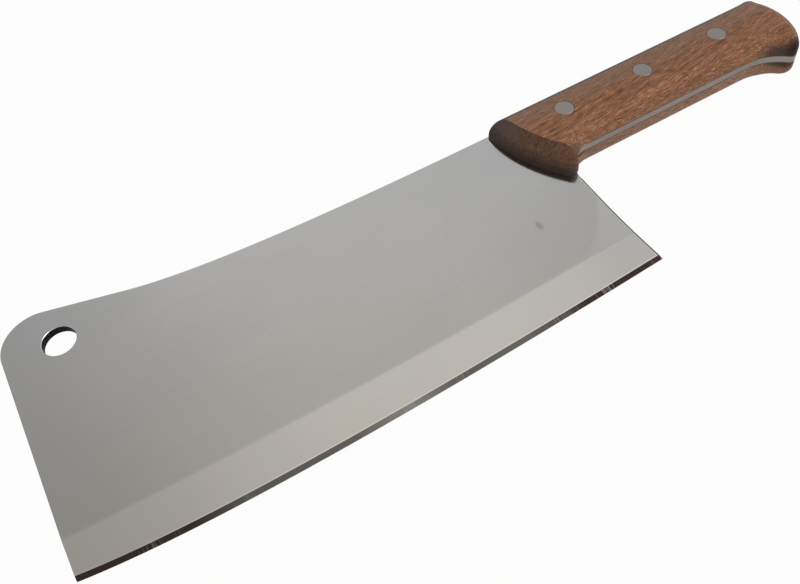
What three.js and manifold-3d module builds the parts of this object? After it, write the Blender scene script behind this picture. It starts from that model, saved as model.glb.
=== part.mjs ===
// A kitchen cleaver, lying on its side: one plate of steel that is blade and full tang, a wooden scale on
// each face of the tang, and compression rivets, each a headed post pressed into a headed sleeve.
// Millimetres and degrees. In plan, x runs from the nose to the butt and y from the cutting edge to the
// spine, with zero at the nose end of the edge. z runs through the thickness, with zero in mid steel.
import * as THREE from "three";
import { mergeVertices } from "three/addons/utils/BufferGeometryUtils.js";
import Module from "manifold-3d";

// Blade outline
const EDGE_LENGTH = 220; // nose to heel, along the chord of the cutting edge
const EDGE_DROP = 0.5; // heel end of the edge below its nose end
const BELLY_DEPTH = 4.3; // how far the edge bows out past its chord
const BELLY_REACH = 55; // from the nose to where the edge's two end tangents cross
const HEEL_LEAN = 1.2; // backward lean of the heel
const SPINE_HEIGHT = 88.8; // straight stretch of the spine above the nose end of the edge
const SWEEP_START = 20; // from the heel to where the spine starts to rise towards the nose
const SWEEP_CORNER = 83; // from the nose to where the spine's line and the nose ramp's line cross
const SWEEP_END = 48; // from the nose to where the rise becomes a straight ramp
const SWEEP_PULL = 0.7; // share of the way to that corner over which the rise leans on each line
const RAMP_ANGLE = 15.5; // slope of the ramp behind the nose
const NOSE_LEAN = 1.1; // forward lean of the nose
const NOSE_RADIUS = 15; // rounded corner between nose and ramp

// Blade section
const BLADE_THICKNESS = 3.5;
const BEVEL_WIDTH = 14.6; // top of the main bevel above the edge's chord, at nose and heel
const BEVEL_SAG = 2.6; // how far it comes down to the edge between them
const GRIND_WIDTH = 2; // sharpened strip along the edge
const GRIND_THICKNESS = 1.2; // steel left where the strip starts

// Hang hole
const HANG_HOLE_DIAMETER = 13;
const HANG_HOLE_FROM_NOSE = 21;
const HANG_HOLE_FROM_RAMP = 15.8;

// Handle outline
const HANDLE_LENGTH = 127.5; // heel to the end of the butt
const GRIP_HEIGHT = 27.3; // back to underside along the straight grip
const HEEL_FILLET = 14; // hollow between the heel and the grip's underside
const TIP_DROP = 12; // front tip of the scales below the grip's underside
const TIP_RADIUS = 3.5;
const FRONT_RADIUS = 80; // bow of the scales' front end
const FRONT_LEAN = 32.5; // slant of that bow where it meets the tip
const FRONT_CORNER = 3; // rounded corner between it and the back
const FLARE_LENGTH = 27.5; // from the butt to where the underside starts to drop
const FLARE_RADIUS = 22; // hollow of that drop
const BUTT_RADIUS = 32; // crown of the butt
const BUTT_CROWN = 16; // highest point of that crown below the back
const BUTT_CORNER = 4.6; // rounded corners of the butt

// Scales
const SCALE_THICKNESS = 9.15;
const BOND_LINE = 0.1; // glue film between scale and tang
const CROWN_INSET = 7; // rounding of the scales' edges, across the face
const CROWN_DEPTH = 6.2; // and through the thickness
const FRONT_WALL = 3.2; // upright foot of the front end, below its slanted face
const FRONT_SLOPE = 35; // slanted face against the blade

// Rivets
const RIVET_COUNT = 3;
const RIVET_PITCH = 39.7;
const RIVET_FROM_HEEL = 13.3;
const RIVET_DROP = 12.8; // below the back of the handle
const HEAD_DIAMETER = 8;
const HEAD_THICKNESS = 2;
const SLEEVE_DIAMETER = 5.6;
const POST_DIAMETER = 3.6;
const POST_GAP = 2; // free length at the blind end of each sleeve and under each post's head
const RIVET_CLEARANCE = 0.1; // all round each rivet and between post and sleeve

// How the shapes are worked out
const ARC_STEPS = 6;
const LINE_STEP = 10; // longest stretch of a scale's outline
const CURVE_STEPS = 20; // along the edge and along the spine's rise
const CROWN_STEPS = 6;
const ROUND_STEPS = 28;
const CONE_STEPS = 160; // a full turn of the cone that the slanted face is part of
const MARGIN = 20; // how far cutting bodies reach past what they cut
const SAME_POINT = 1e-3; // closer points are one point
const CORNER_SHARE = 0.85; // of a corner's radius, for the rounding of a scale's edge
const REACH_GROWTH = 0.5; // growth of that rounding per length away from a corner
const MOST_OF_WALL = 0.9; // of a scale's thickness, the most that its rounding takes

const rad = THREE.MathUtils.degToRad;
const at = (x, y) => new THREE.Vector2(x, y);
const bearing = (from, to) => Math.atan2(to.y - from.y, to.x - from.x);

// Places worked out from the driving dimensions
const halfBlade = BLADE_THICKNESS / 2;
const scaleFoot = halfBlade + BOND_LINE;
const scaleFace = scaleFoot + SCALE_THICKNESS;
const gripTop = SPINE_HEIGHT;
const gripBottom = gripTop - GRIP_HEIGHT;
const buttX = EDGE_LENGTH + HANDLE_LENGTH;
const rivetY = gripTop - RIVET_DROP;

// The heel, as the place of its line at y.
const heelX = (y) => EDGE_LENGTH + y * Math.tan(rad(HEEL_LEAN));

// Centres of the handle's round stretches, in plan
const heelY = gripBottom - HEEL_FILLET;
const heel = at(heelX(heelY) + HEEL_FILLET / Math.cos(rad(HEEL_LEAN)), heelY);
const flare = at(buttX - FLARE_LENGTH, gripBottom - FLARE_RADIUS);
const butt = at(buttX - BUTT_RADIUS, gripTop - BUTT_CROWN);

// The lower right of the two points where circles of radius ra about a and rb about b cross.
function circlesMeet(a, ra, b, rb) {
  const gap = a.distanceTo(b);
  const along = (gap * gap + ra * ra - rb * rb) / (2 * gap);
  const aside = Math.sqrt(ra * ra - along * along);
  const towards = b.clone().sub(a).divideScalar(gap);
  return at(a.x + towards.x * along + towards.y * aside, a.y + towards.y * along - towards.x * aside);
}

// Corners of the butt, rolled between the flare or the back and the butt's crown.
const lowCorner = circlesMeet(flare, FLARE_RADIUS + BUTT_CORNER, butt, BUTT_RADIUS - BUTT_CORNER);
const highCornerRise = BUTT_CROWN - BUTT_CORNER;
const highCorner = at(
  butt.x + Math.sqrt((BUTT_RADIUS - BUTT_CORNER) ** 2 - highCornerRise ** 2),
  gripTop - BUTT_CORNER,
);

// Front end of the scales: a round tip that touches the heel's hollow, then one long bow to the back.
const tipY = gripBottom - TIP_DROP + TIP_RADIUS;
const tip = at(
  heel.x - Math.sqrt((HEEL_FILLET + TIP_RADIUS) ** 2 - (tipY - heel.y) ** 2), tipY,
);
const bowReach = FRONT_RADIUS - TIP_RADIUS;
const bow = at(
  tip.x + bowReach * Math.cos(rad(FRONT_LEAN)), tip.y + bowReach * Math.sin(rad(FRONT_LEAN)),
);
const frontCornerY = gripTop - FRONT_CORNER;
const frontCorner = at(
  bow.x - Math.sqrt((FRONT_RADIUS - FRONT_CORNER) ** 2 - (bow.y - frontCornerY) ** 2), frontCornerY,
);

// Underside, flare, butt and back, which tang and scales share. It starts at the end of the heel's hollow.
function traceGrip(path) {
  const lowTouch = bearing(flare, lowCorner);
  const lowLeave = bearing(butt, lowCorner);
  const highTouch = bearing(butt, highCorner);
  path.absarc(flare.x, flare.y, FLARE_RADIUS, Math.PI / 2, lowTouch, true);
  path.absarc(lowCorner.x, lowCorner.y, BUTT_CORNER, lowTouch - Math.PI, lowLeave, false);
  path.absarc(butt.x, butt.y, BUTT_RADIUS, lowLeave, highTouch, false);
  path.absarc(highCorner.x, highCorner.y, BUTT_CORNER, highTouch, Math.PI / 2, false);
}

// The ramp behind the nose, as the height of its line at x.
const rampY = (x) => SPINE_HEIGHT + (SWEEP_CORNER - x) * Math.tan(rad(RAMP_ANGLE));

// The nose's line and the ramp's, both moved inwards, cross at the centre of a circle that touches them.
function insideNose(fromNose, fromRamp) {
  const rampAtZero = rampY(0) - fromRamp / Math.cos(rad(RAMP_ANGLE));
  const noseAtZero = fromNose / Math.cos(rad(NOSE_LEAN));
  const lean = Math.tan(rad(NOSE_LEAN));
  const slope = Math.tan(rad(RAMP_ANGLE));
  const y = (rampAtZero - slope * noseAtZero) / (1 - slope * lean);
  return at(noseAtZero - y * lean, y);
}

function circlePath(centre, radius) {
  return new THREE.Path().absarc(centre.x, centre.y, radius, 0, 2 * Math.PI, true);
}

const rivets = Array.from({ length: RIVET_COUNT }, (_, i) =>
  at(EDGE_LENGTH + RIVET_FROM_HEEL + i * RIVET_PITCH, rivetY));

// Points of a path, without the near doubles that its joints leave.
function pointsOf(path) {
  const points = path.getPoints(ARC_STEPS);
  return points.filter((p, i) => p.distanceTo(points[(i + 1) % points.length]) > SAME_POINT);
}

// The same outline with its long lines divided, so that a rounding can change along them.
function divided(points) {
  return points.flatMap((p, i) => {
    const next = points[(i + 1) % points.length];
    const count = Math.ceil(p.distanceTo(next) / LINE_STEP);
    return Array.from({ length: count }, (_, k) => p.clone().lerp(next, k / count));
  });
}

// The spine's rise from its straight stretch to the ramp.
function spineRise() {
  const start = at(EDGE_LENGTH - SWEEP_START, SPINE_HEIGHT);
  const corner = at(SWEEP_CORNER, SPINE_HEIGHT);
  const end = at(SWEEP_END, rampY(SWEEP_END));
  const leave = start.clone().lerp(corner, SWEEP_PULL);
  const arrive = end.clone().lerp(corner, SWEEP_PULL);
  return new THREE.CubicBezierCurve(start, leave, arrive, end).getPoints(CURVE_STEPS);
}

// Steel in plan. Its lower side runs straight below the cutting edge, which the section cuts out later.
function steelOutline() {
  const below = -(BELLY_DEPTH + MARGIN);
  const nose = insideNose(NOSE_RADIUS, NOSE_RADIUS);
  const path = new THREE.Path();
  path.moveTo(-below * Math.tan(rad(NOSE_LEAN)), below);
  path.lineTo(heelX(below), below);
  path.absarc(heel.x, heel.y, HEEL_FILLET, Math.PI - rad(HEEL_LEAN), Math.PI / 2, true);
  traceGrip(path);
  for (const p of spineRise()) path.lineTo(p.x, p.y);
  path.absarc(nose.x, nose.y, NOSE_RADIUS, Math.PI / 2 - rad(RAMP_ANGLE), Math.PI + rad(NOSE_LEAN), false);
  const shape = new THREE.Shape(pointsOf(path));
  const hangHole = insideNose(HANG_HOLE_FROM_NOSE, HANG_HOLE_FROM_RAMP);
  shape.holes.push(circlePath(hangHole, HANG_HOLE_DIAMETER / 2));
  for (const r of rivets) shape.holes.push(circlePath(r, SLEEVE_DIAMETER / 2 + RIVET_CLEARANCE));
  return shape;
}

// Scale in plan.
function scaleOutline() {
  const tipTouch = bearing(heel, tip);
  const tipStart = bearing(bow, tip);
  const frontTouch = bearing(bow, frontCorner);
  const path = new THREE.Path();
  path.absarc(tip.x, tip.y, TIP_RADIUS, tipStart, tipTouch + Math.PI, false);
  path.absarc(heel.x, heel.y, HEEL_FILLET, tipTouch, Math.PI / 2, true);
  traceGrip(path);
  path.absarc(frontCorner.x, frontCorner.y, FRONT_CORNER, Math.PI / 2, frontTouch, false);
  path.absarc(bow.x, bow.y, FRONT_RADIUS, frontTouch, tipStart, false);
  return divided(pointsOf(path));
}

const wasm = await Module();
wasm.setup();

function solidOf(geometry) {
  const bare = geometry.clone();
  bare.deleteAttribute("normal");
  bare.deleteAttribute("uv");
  const merged = mergeVertices(bare, SAME_POINT);
  return new wasm.Manifold(new wasm.Mesh({
    numProp: 3,
    vertProperties: merged.attributes.position.array,
    triVerts: new Uint32Array(merged.index.array),
  }));
}

function geometryOf(solid) {
  const { vertProperties, triVerts } = solid.getMesh();
  const geometry = new THREE.BufferGeometry();
  geometry.setAttribute("position", new THREE.BufferAttribute(vertProperties, 3));
  geometry.setIndex(new THREE.BufferAttribute(triVerts, 1));
  const faceted = geometry.toNonIndexed();
  faceted.computeVertexNormals();
  return faceted;
}

// A closed skin over rings of equal length, with a flat cap on the first and the last. Each ring runs the
// right-handed way about the direction in which the rings follow each other. flatten gives a ring's point in
// the plane of its cap.
function skin(rings, flatten) {
  const size = rings[0].length;
  const last = (rings.length - 1) * size;
  const index = [];
  for (let start = 0; start < last; start += size) {
    for (let i = 0; i < size; i++) {
      const [a, b] = [start + i, start + ((i + 1) % size)];
      index.push(a, b, b + size, a, b + size, a + size);
    }
  }
  const capOf = (ring) => THREE.ShapeUtils.triangulateShape(ring.map(flatten), []);
  for (const [a, b, c] of capOf(rings[0])) index.push(c, b, a);
  for (const [a, b, c] of capOf(rings.at(-1))) index.push(last + a, last + b, last + c);
  const geometry = new THREE.BufferGeometry().setFromPoints(rings.flat());
  geometry.setIndex(index);
  return geometry;
}

// A slab with the blade's section: flat sides, main bevels and the sharpened strip, along the curved edge.
function bevelledSlab() {
  const belly = at(BELLY_REACH, -2 * BELLY_DEPTH);
  const edge = new THREE.QuadraticBezierCurve(at(0, 0), belly, at(EDGE_LENGTH, -EDGE_DROP));
  const stations = [at(-MARGIN, 0), ...edge.getPoints(CURVE_STEPS), at(buttX + MARGIN, -EDGE_DROP)];
  const top = rampY(0) + MARGIN;
  const halfGrind = GRIND_THICKNESS / 2;
  const sectionAt = ({ x, y }) => {
    const along = THREE.MathUtils.clamp(x / EDGE_LENGTH, 0, 1);
    const shoulder = BEVEL_WIDTH - 4 * BEVEL_SAG * along * (1 - along);
    return [
      new THREE.Vector3(x, y, 0),
      new THREE.Vector3(x, y + GRIND_WIDTH, -halfGrind),
      new THREE.Vector3(x, shoulder, -halfBlade),
      new THREE.Vector3(x, top, -halfBlade),
      new THREE.Vector3(x, top, halfBlade),
      new THREE.Vector3(x, shoulder, halfBlade),
      new THREE.Vector3(x, y + GRIND_WIDTH, halfGrind),
    ];
  };
  return skin(stations.map(sectionAt), ({ y, z }) => at(y, z));
}

function bladeSolid() {
  const outline = new THREE.ExtrudeGeometry(steelOutline(), {
    depth: 2 * MARGIN,
    bevelEnabled: false,
    curveSegments: ROUND_STEPS / 2,
  });
  return solidOf(outline.translate(0, 0, -MARGIN)).intersect(solidOf(bevelledSlab()));
}

// How far a scale's rounding reaches in from each point of its outline: the full inset, and less towards a
// tight corner, so that the rounded edge never folds over itself.
function roundingReach(points) {
  const reach = points.map((p, i) => {
    const before = p.clone().sub(points.at(i - 1));
    const after = points[(i + 1) % points.length].clone().sub(p);
    const turn = Math.max(Math.atan2(before.cross(after), before.dot(after)), SAME_POINT);
    const radius = (before.length() + after.length()) / 2 / turn;
    return Math.min(CROWN_INSET, CORNER_SHARE * radius);
  });
  return points.map((p) => Math.min(...points.map((q, i) => reach[i] + REACH_GROWTH * p.distanceTo(q))));
}

// Block for the upper scale: upright sides from the tang, then a quarter of an oval over to the flat face.
function crownedBlock() {
  const points = scaleOutline();
  const reach = roundingReach(points);
  const depth = Math.min(CROWN_DEPTH, SCALE_THICKNESS * MOST_OF_WALL);
  const inward = points.map((_, i) => {
    const along = points[(i + 1) % points.length].clone().sub(points.at(i - 1)).normalize();
    return at(-along.y, along.x);
  });
  const ringAt = (share, z) => points.map((p, i) => {
    const moved = p.clone().addScaledVector(inward[i], share * reach[i]);
    return new THREE.Vector3(moved.x, moved.y, z);
  });
  const rings = [ringAt(0, scaleFoot)];
  for (let k = 0; k <= CROWN_STEPS; k++) {
    const angle = (k / CROWN_STEPS) * (Math.PI / 2);
    rings.push(ringAt(1 - Math.cos(angle), scaleFace - depth * (1 - Math.sin(angle))));
  }
  return skin(rings, ({ x, y }) => at(x, y));
}

// A body turned about the upright axis through centre, where its profile of [radius, z] corners starts and
// ends.
function turned(profile, centre, steps = ROUND_STEPS) {
  const corners = profile.map(([radius, z]) => at(radius, z));
  return new THREE.LatheGeometry(corners, steps).rotateX(Math.PI / 2).translate(centre.x, centre.y, 0);
}

// The body to take off above the slanted face of the front end. That face is part of a cone about the bow's
// centre, so the wall below it is equally high along the bow.
function frontCutter() {
  const fall = Math.tan(rad(FRONT_SLOPE));
  const rim = scaleFoot + FRONT_WALL;
  const apex = rim + FRONT_RADIUS * fall;
  const reach = FRONT_RADIUS + MARGIN;
  const cone = turned([
    [0, apex],
    [reach, rim - MARGIN * fall],
    [reach, apex + MARGIN],
    [0, apex + MARGIN],
  ], bow, CONE_STEPS);
  return solidOf(cone).trimByPlane([-1, 0, 0], -bow.x);
}

const headRadius = HEAD_DIAMETER / 2;
const sleeveRadius = SLEEVE_DIAMETER / 2;
const postRadius = POST_DIAMETER / 2;
const headSeat = scaleFace - HEAD_THICKNESS;

// Stepped hole for a rivet in the upper scale.
function rivetCutter(centre) {
  const seat = headSeat - RIVET_CLEARANCE;
  return turned([
    [0, -MARGIN],
    [sleeveRadius + RIVET_CLEARANCE, -MARGIN],
    [sleeveRadius + RIVET_CLEARANCE, seat],
    [headRadius + RIVET_CLEARANCE, seat],
    [headRadius + RIVET_CLEARANCE, scaleFace + MARGIN],
    [0, scaleFace + MARGIN],
  ], centre);
}

function scaleSolid() {
  let wood = solidOf(crownedBlock()).subtract(frontCutter());
  for (const r of rivets) wood = wood.subtract(solidOf(rivetCutter(r)));
  return wood;
}

// Post: its head lies in the upper scale's face and its shank runs down inside the sleeve.
function postGeometry(centre) {
  const end = -headSeat + 2 * POST_GAP;
  return turned([
    [0, end],
    [postRadius, end],
    [postRadius, headSeat],
    [headRadius, headSeat],
    [headRadius, scaleFace],
    [0, scaleFace],
  ], centre);
}

// Sleeve: its head lies in the lower scale's face and its blind tube runs up through the tang.
function sleeveGeometry(centre) {
  const mouth = headSeat - POST_GAP;
  const bore = postRadius + RIVET_CLEARANCE;
  return turned([
    [0, -scaleFace],
    [headRadius, -scaleFace],
    [headRadius, -headSeat],
    [sleeveRadius, -headSeat],
    [sleeveRadius, mouth],
    [bore, mouth],
    [bore, -headSeat + POST_GAP],
    [0, -headSeat + POST_GAP],
  ], centre);
}

const steel = new THREE.MeshStandardMaterial({ color: 0xa9abad, roughness: 0.25, metalness: 1 });
const wood = new THREE.MeshStandardMaterial({ color: 0x8c6249, roughness: 0.6, metalness: 0 });
const alloy = new THREE.MeshStandardMaterial({ color: 0xa3a1a0, roughness: 0.45, metalness: 1 });

function piece(name, geometry, material) {
  const mesh = new THREE.Mesh(geometry, material);
  mesh.name = name;
  return mesh;
}

const cleaver = new THREE.Group();
cleaver.name = "cleaver";
cleaver.add(piece("blade", geometryOf(bladeSolid()), steel));
const scaleGeometry = geometryOf(scaleSolid());
cleaver.add(piece("upper_scale", scaleGeometry, wood));
const lowerScale = piece("lower_scale", scaleGeometry, wood);
lowerScale.scale.z = -1;
cleaver.add(lowerScale);
rivets.forEach((centre, i) => {
  cleaver.add(piece(`rivet_post_${i + 1}`, postGeometry(centre), alloy));
  cleaver.add(piece(`rivet_sleeve_${i + 1}`, sleeveGeometry(centre), alloy));
});

// The part's origin is the middle of the bottom of its box.
const box = new THREE.Box3().setFromObject(cleaver);
const middle = box.getCenter(new THREE.Vector3());
for (const child of cleaver.children) {
  child.position.set(-middle.x, -middle.y, -box.min.z);
}

export default cleaver;
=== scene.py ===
"""Looks of a kitchen cleaver: polished blade, riveted hardwood scales and a plain studio, on the CAD frame.

Sizes are millimetres and degrees in the cleaver's plan: x runs from the nose to the butt, y from the
cutting edge to the spine and z up from the middle of the steel, with zero at the nose end of the edge.
"""

import functools
import logging
import math
from collections.abc import Sequence
from dataclasses import dataclass
from enum import Enum
from typing import Any

import bmesh
import bpy
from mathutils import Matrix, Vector


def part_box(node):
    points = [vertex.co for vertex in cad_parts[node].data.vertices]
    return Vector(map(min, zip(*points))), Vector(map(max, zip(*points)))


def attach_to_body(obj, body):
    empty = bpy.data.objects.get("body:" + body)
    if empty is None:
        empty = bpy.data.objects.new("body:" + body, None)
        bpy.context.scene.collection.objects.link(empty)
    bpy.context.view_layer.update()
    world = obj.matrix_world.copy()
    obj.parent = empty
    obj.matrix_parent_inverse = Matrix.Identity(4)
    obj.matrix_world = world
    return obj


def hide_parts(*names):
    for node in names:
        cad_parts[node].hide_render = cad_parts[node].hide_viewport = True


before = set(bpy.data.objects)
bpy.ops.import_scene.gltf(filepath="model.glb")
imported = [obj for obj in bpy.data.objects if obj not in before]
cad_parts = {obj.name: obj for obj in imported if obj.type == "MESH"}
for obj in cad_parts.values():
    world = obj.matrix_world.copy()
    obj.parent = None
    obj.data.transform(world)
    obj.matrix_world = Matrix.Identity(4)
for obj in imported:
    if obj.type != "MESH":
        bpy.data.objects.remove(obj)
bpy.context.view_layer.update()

log = logging.getLogger("cleaver")

Colour = tuple[float, float, float, float]
Triple = tuple[float, float, float]
Stops = Sequence[tuple[float, Colour]]
Socket = bpy.types.NodeSocket

MM = 0.001
BODY = "root"

# Longest steps along the arcs and lines of an outline, and the distance under which points are one.
ARC_STEP = math.radians(4)
LINE_STEP = 3.0
SAME_POINT = 1e-3

# Angle of the wood's grain to the handle.
GRAIN_TURN = 7.0

# Size of the smears on bare metal, and how much lines and smears count in its wear.
SMEAR_CELL = (46, 30, 30)
LINE_WEAR = 0.4
SMEAR_WEAR = 0.6

# Ranges of noise that make the lines and the smears, and the radii over which a speck fades, in cells.
LINE_CONTRAST = (0.3, 0.7)
SMEAR_CONTRAST = (0.35, 0.7)
SPECK_RADII = (0.01, 0.025)


def srgb(red: int, green: int, blue: int) -> Colour:
    """Turn a colour as a screen shows it into the linear one that shaders use.

    Args:
        red: Red, 0 to 255.
        green: Green, 0 to 255.
        blue: Blue, 0 to 255.

    Returns:
        The linear colour with full alpha.
    """
    shares = (channel / 255 for channel in (red, green, blue))
    linear = [s / 12.92 if s <= 0.04045 else ((s + 0.055) / 1.055) ** 2.4 for s in shares]
    return (*linear, 1.0)


def grey(value: float) -> Colour:
    """Return a neutral linear colour."""
    return (value, value, value, 1.0)


def per_metre(cell: Triple) -> Triple:
    """Return how many cells of a size in millimetres fit in a metre, along x, y and z."""
    return tuple(1 / (size * MM) for size in cell)


def bearing(start: Vector, end: Vector) -> float:
    """Return the angle of the line from start to end, in radians."""
    return math.atan2(end.y - start.y, end.x - start.x)


def polar(centre: Vector, radius: float, angle: float) -> Vector:
    """Return the point at an angle on a circle in plan."""
    return centre + radius * Vector((math.cos(angle), math.sin(angle)))


def arc(centre: Vector, radius: float, start: float, end: float) -> list[Vector]:
    """Follow a circle from one angle to another, the way round that the angles count.

    Args:
        centre: Centre of the circle, in plan.
        radius: Its radius.
        start: First angle, in radians.
        end: Last angle, in radians.

    Returns:
        Points along the arc, both ends among them.
    """
    turn = abs(end - start)
    count = max(2, math.ceil(turn / ARC_STEP), math.ceil(turn * radius / LINE_STEP))
    return [polar(centre, radius, start + (end - start) * k / count) for k in range(count + 1)]


def curve(handles: Sequence[Vector], count: int) -> list[Vector]:
    """Follow a Bezier curve.

    Args:
        handles: Its ends, with its handles between them.
        count: Number of steps.

    Returns:
        Points along the curve, both ends among them.
    """
    points = []
    for k in range(count + 1):
        row = list(handles)
        while len(row) > 1:
            row = [a.lerp(b, k / count) for a, b in zip(row, row[1:])]
        points += row
    return points


def divided(points: Sequence[Vector]) -> list[Vector]:
    """Clean a closed outline and divide its long lines.

    Args:
        points: Corners of the outline in order.

    Returns:
        The same outline without near doubles, and with no stretch longer than LINE_STEP.
    """
    kept = [p for p, q in zip(points, [*points[1:], points[0]]) if (q - p).length > SAME_POINT]
    result = []
    for start, end in zip(kept, [*kept[1:], kept[0]]):
        count = math.ceil((end - start).length / LINE_STEP)
        result += [start.lerp(end, k / count) for k in range(count)]
    return result


def circles_meet(a: Vector, radius_a: float, b: Vector, radius_b: float) -> Vector:
    """Find the lower right of the two points where two circles cross.

    Args:
        a: Centre of the first circle.
        radius_a: Its radius.
        b: Centre of the second circle.
        radius_b: Its radius.

    Returns:
        The crossing, in plan.
    """
    gap = (b - a).length
    along = (gap**2 + radius_a**2 - radius_b**2) / (2 * gap)
    aside = math.sqrt(radius_a**2 - along**2)
    towards = (b - a) / gap
    return a + towards * along + Vector((towards.y, -towards.x)) * aside


class Side(Enum):
    """The two faces of the cleaver, as the sign of z."""

    UPPER = 1
    LOWER = -1


class Cut(Enum):
    """What a tool body does to a piece, under Blender's names."""

    REMOVE = "DIFFERENCE"
    KEEP = "INTERSECT"


class Blend(Enum):
    """Ways to lay one colour over another, under Blender's names."""

    COVER = "MIX"
    TINT = "MULTIPLY"


class Zone(Enum):
    """Finishes on the steel, in the order of its material slots."""

    FLAT = 0
    BEVEL = 1
    GRIND = 2
    CUT_EDGE = 3
    HOLE_BORE = 4
    # Painted highlight on the softened hole rim and the grind's shoulder.
    BRIGHT_LINE = 5
    # Painted shade on the softened outline edges.
    DARK_LINE = 6


@dataclass(frozen=True)
class Plan:
    """Places the cleaver's plan in the frame."""

    origin: Vector

    def place(self, x: float, y: float, z: float = 0.0) -> Vector:
        """Return a plan point in the frame's metres."""
        return self.origin + Vector((x, y, z)) * MM

    def ring(self, outline: Sequence[Vector], z: float) -> list[Vector]:
        """Return a plan outline at one height, in the frame's metres."""
        return [self.place(p.x, p.y, z) for p in outline]

    def circle(self, centre: Vector, radius: float, z: float) -> list[Vector]:
        """Return a circle at one height, in the frame's metres."""
        return self.ring(arc(centre, radius, 0, 2 * math.pi)[:-1], z)

    def read(self, point: Vector) -> Vector:
        """Return a point of the frame in the plan's millimetres."""
        return (point - self.origin) / MM


def loft(name: str, rings: Sequence[Sequence[Vector]]) -> bpy.types.Object:
    """Close a skin over rings of equal length, with a flat cap on the first and the last.

    Args:
        name: Name of the new object.
        rings: Rings of points in the frame's metres.

    Returns:
        The object, its faces pointing out.
    """
    work = bmesh.new()
    loops = [[work.verts.new(p) for p in ring] for ring in rings]
    size = len(loops[0])
    for low, high in zip(loops, loops[1:]):
        for i in range(size):
            k = (i + 1) % size
            work.faces.new((low[i], low[k], high[k], high[i]))
    work.faces.new(loops[0][::-1])
    work.faces.new(loops[-1])
    bmesh.ops.recalc_face_normals(work, faces=work.faces)
    piece = bpy.data.objects.new(name, bpy.data.meshes.new(name))
    work.to_mesh(piece.data)
    work.free()
    bpy.context.scene.collection.objects.link(piece)
    return piece


def settle(piece: bpy.types.Object) -> None:
    """Turn a piece and its modifiers into a plain mesh.

    Args:
        piece: The object, which has no modifiers afterwards.
    """
    depsgraph = bpy.context.evaluated_depsgraph_get()
    made = bpy.data.meshes.new_from_object(piece.evaluated_get(depsgraph))
    piece.modifiers.clear()
    piece.data = made


def carve(piece: bpy.types.Object, tool: bpy.types.Object, cut: Cut) -> None:
    """Cut a piece with a tool body, and throw the tool away.

    Args:
        piece: The object to cut.
        tool: A closed body.
        cut: Whether the part inside the tool goes or stays.
    """
    modifier = piece.modifiers.new("carve", "BOOLEAN")
    modifier.solver = "MANIFOLD"
    modifier.operation = cut.value
    modifier.object = tool
    settle(piece)
    piece.data.materials.clear()
    bpy.data.objects.remove(tool)


def shade(piece: bpy.types.Object, crease: float) -> None:
    """Shade a piece smooth, except over creases and between finishes.

    Args:
        piece: The piece, as a plain mesh.
        crease: Angle between faces, in degrees, from which an edge stays sharp.
    """
    work = bmesh.new()
    work.from_mesh(piece.data)
    for face in work.faces:
        face.smooth = True
    for edge in work.edges:
        finishes = {face.material_index for face in edge.link_faces}
        edge.smooth = len(finishes) == 1 and edge.calc_face_angle(0.0) < math.radians(crease)
    work.to_mesh(piece.data)
    work.free()


def attach(piece: bpy.types.Object, slot: str, *nodes: str) -> None:
    """Let a piece stand for CAD nodes and ride on the cleaver.

    Args:
        piece: The finished piece.
        slot: Name of a material slot; not used.
        *nodes: Names of the CAD nodes that it replaces.
    """
    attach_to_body(piece, BODY)
    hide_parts(*nodes)
    log.info("%s: %d faces, stands for %s", piece.name, len(piece.data.polygons), ", ".join(nodes))


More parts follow.
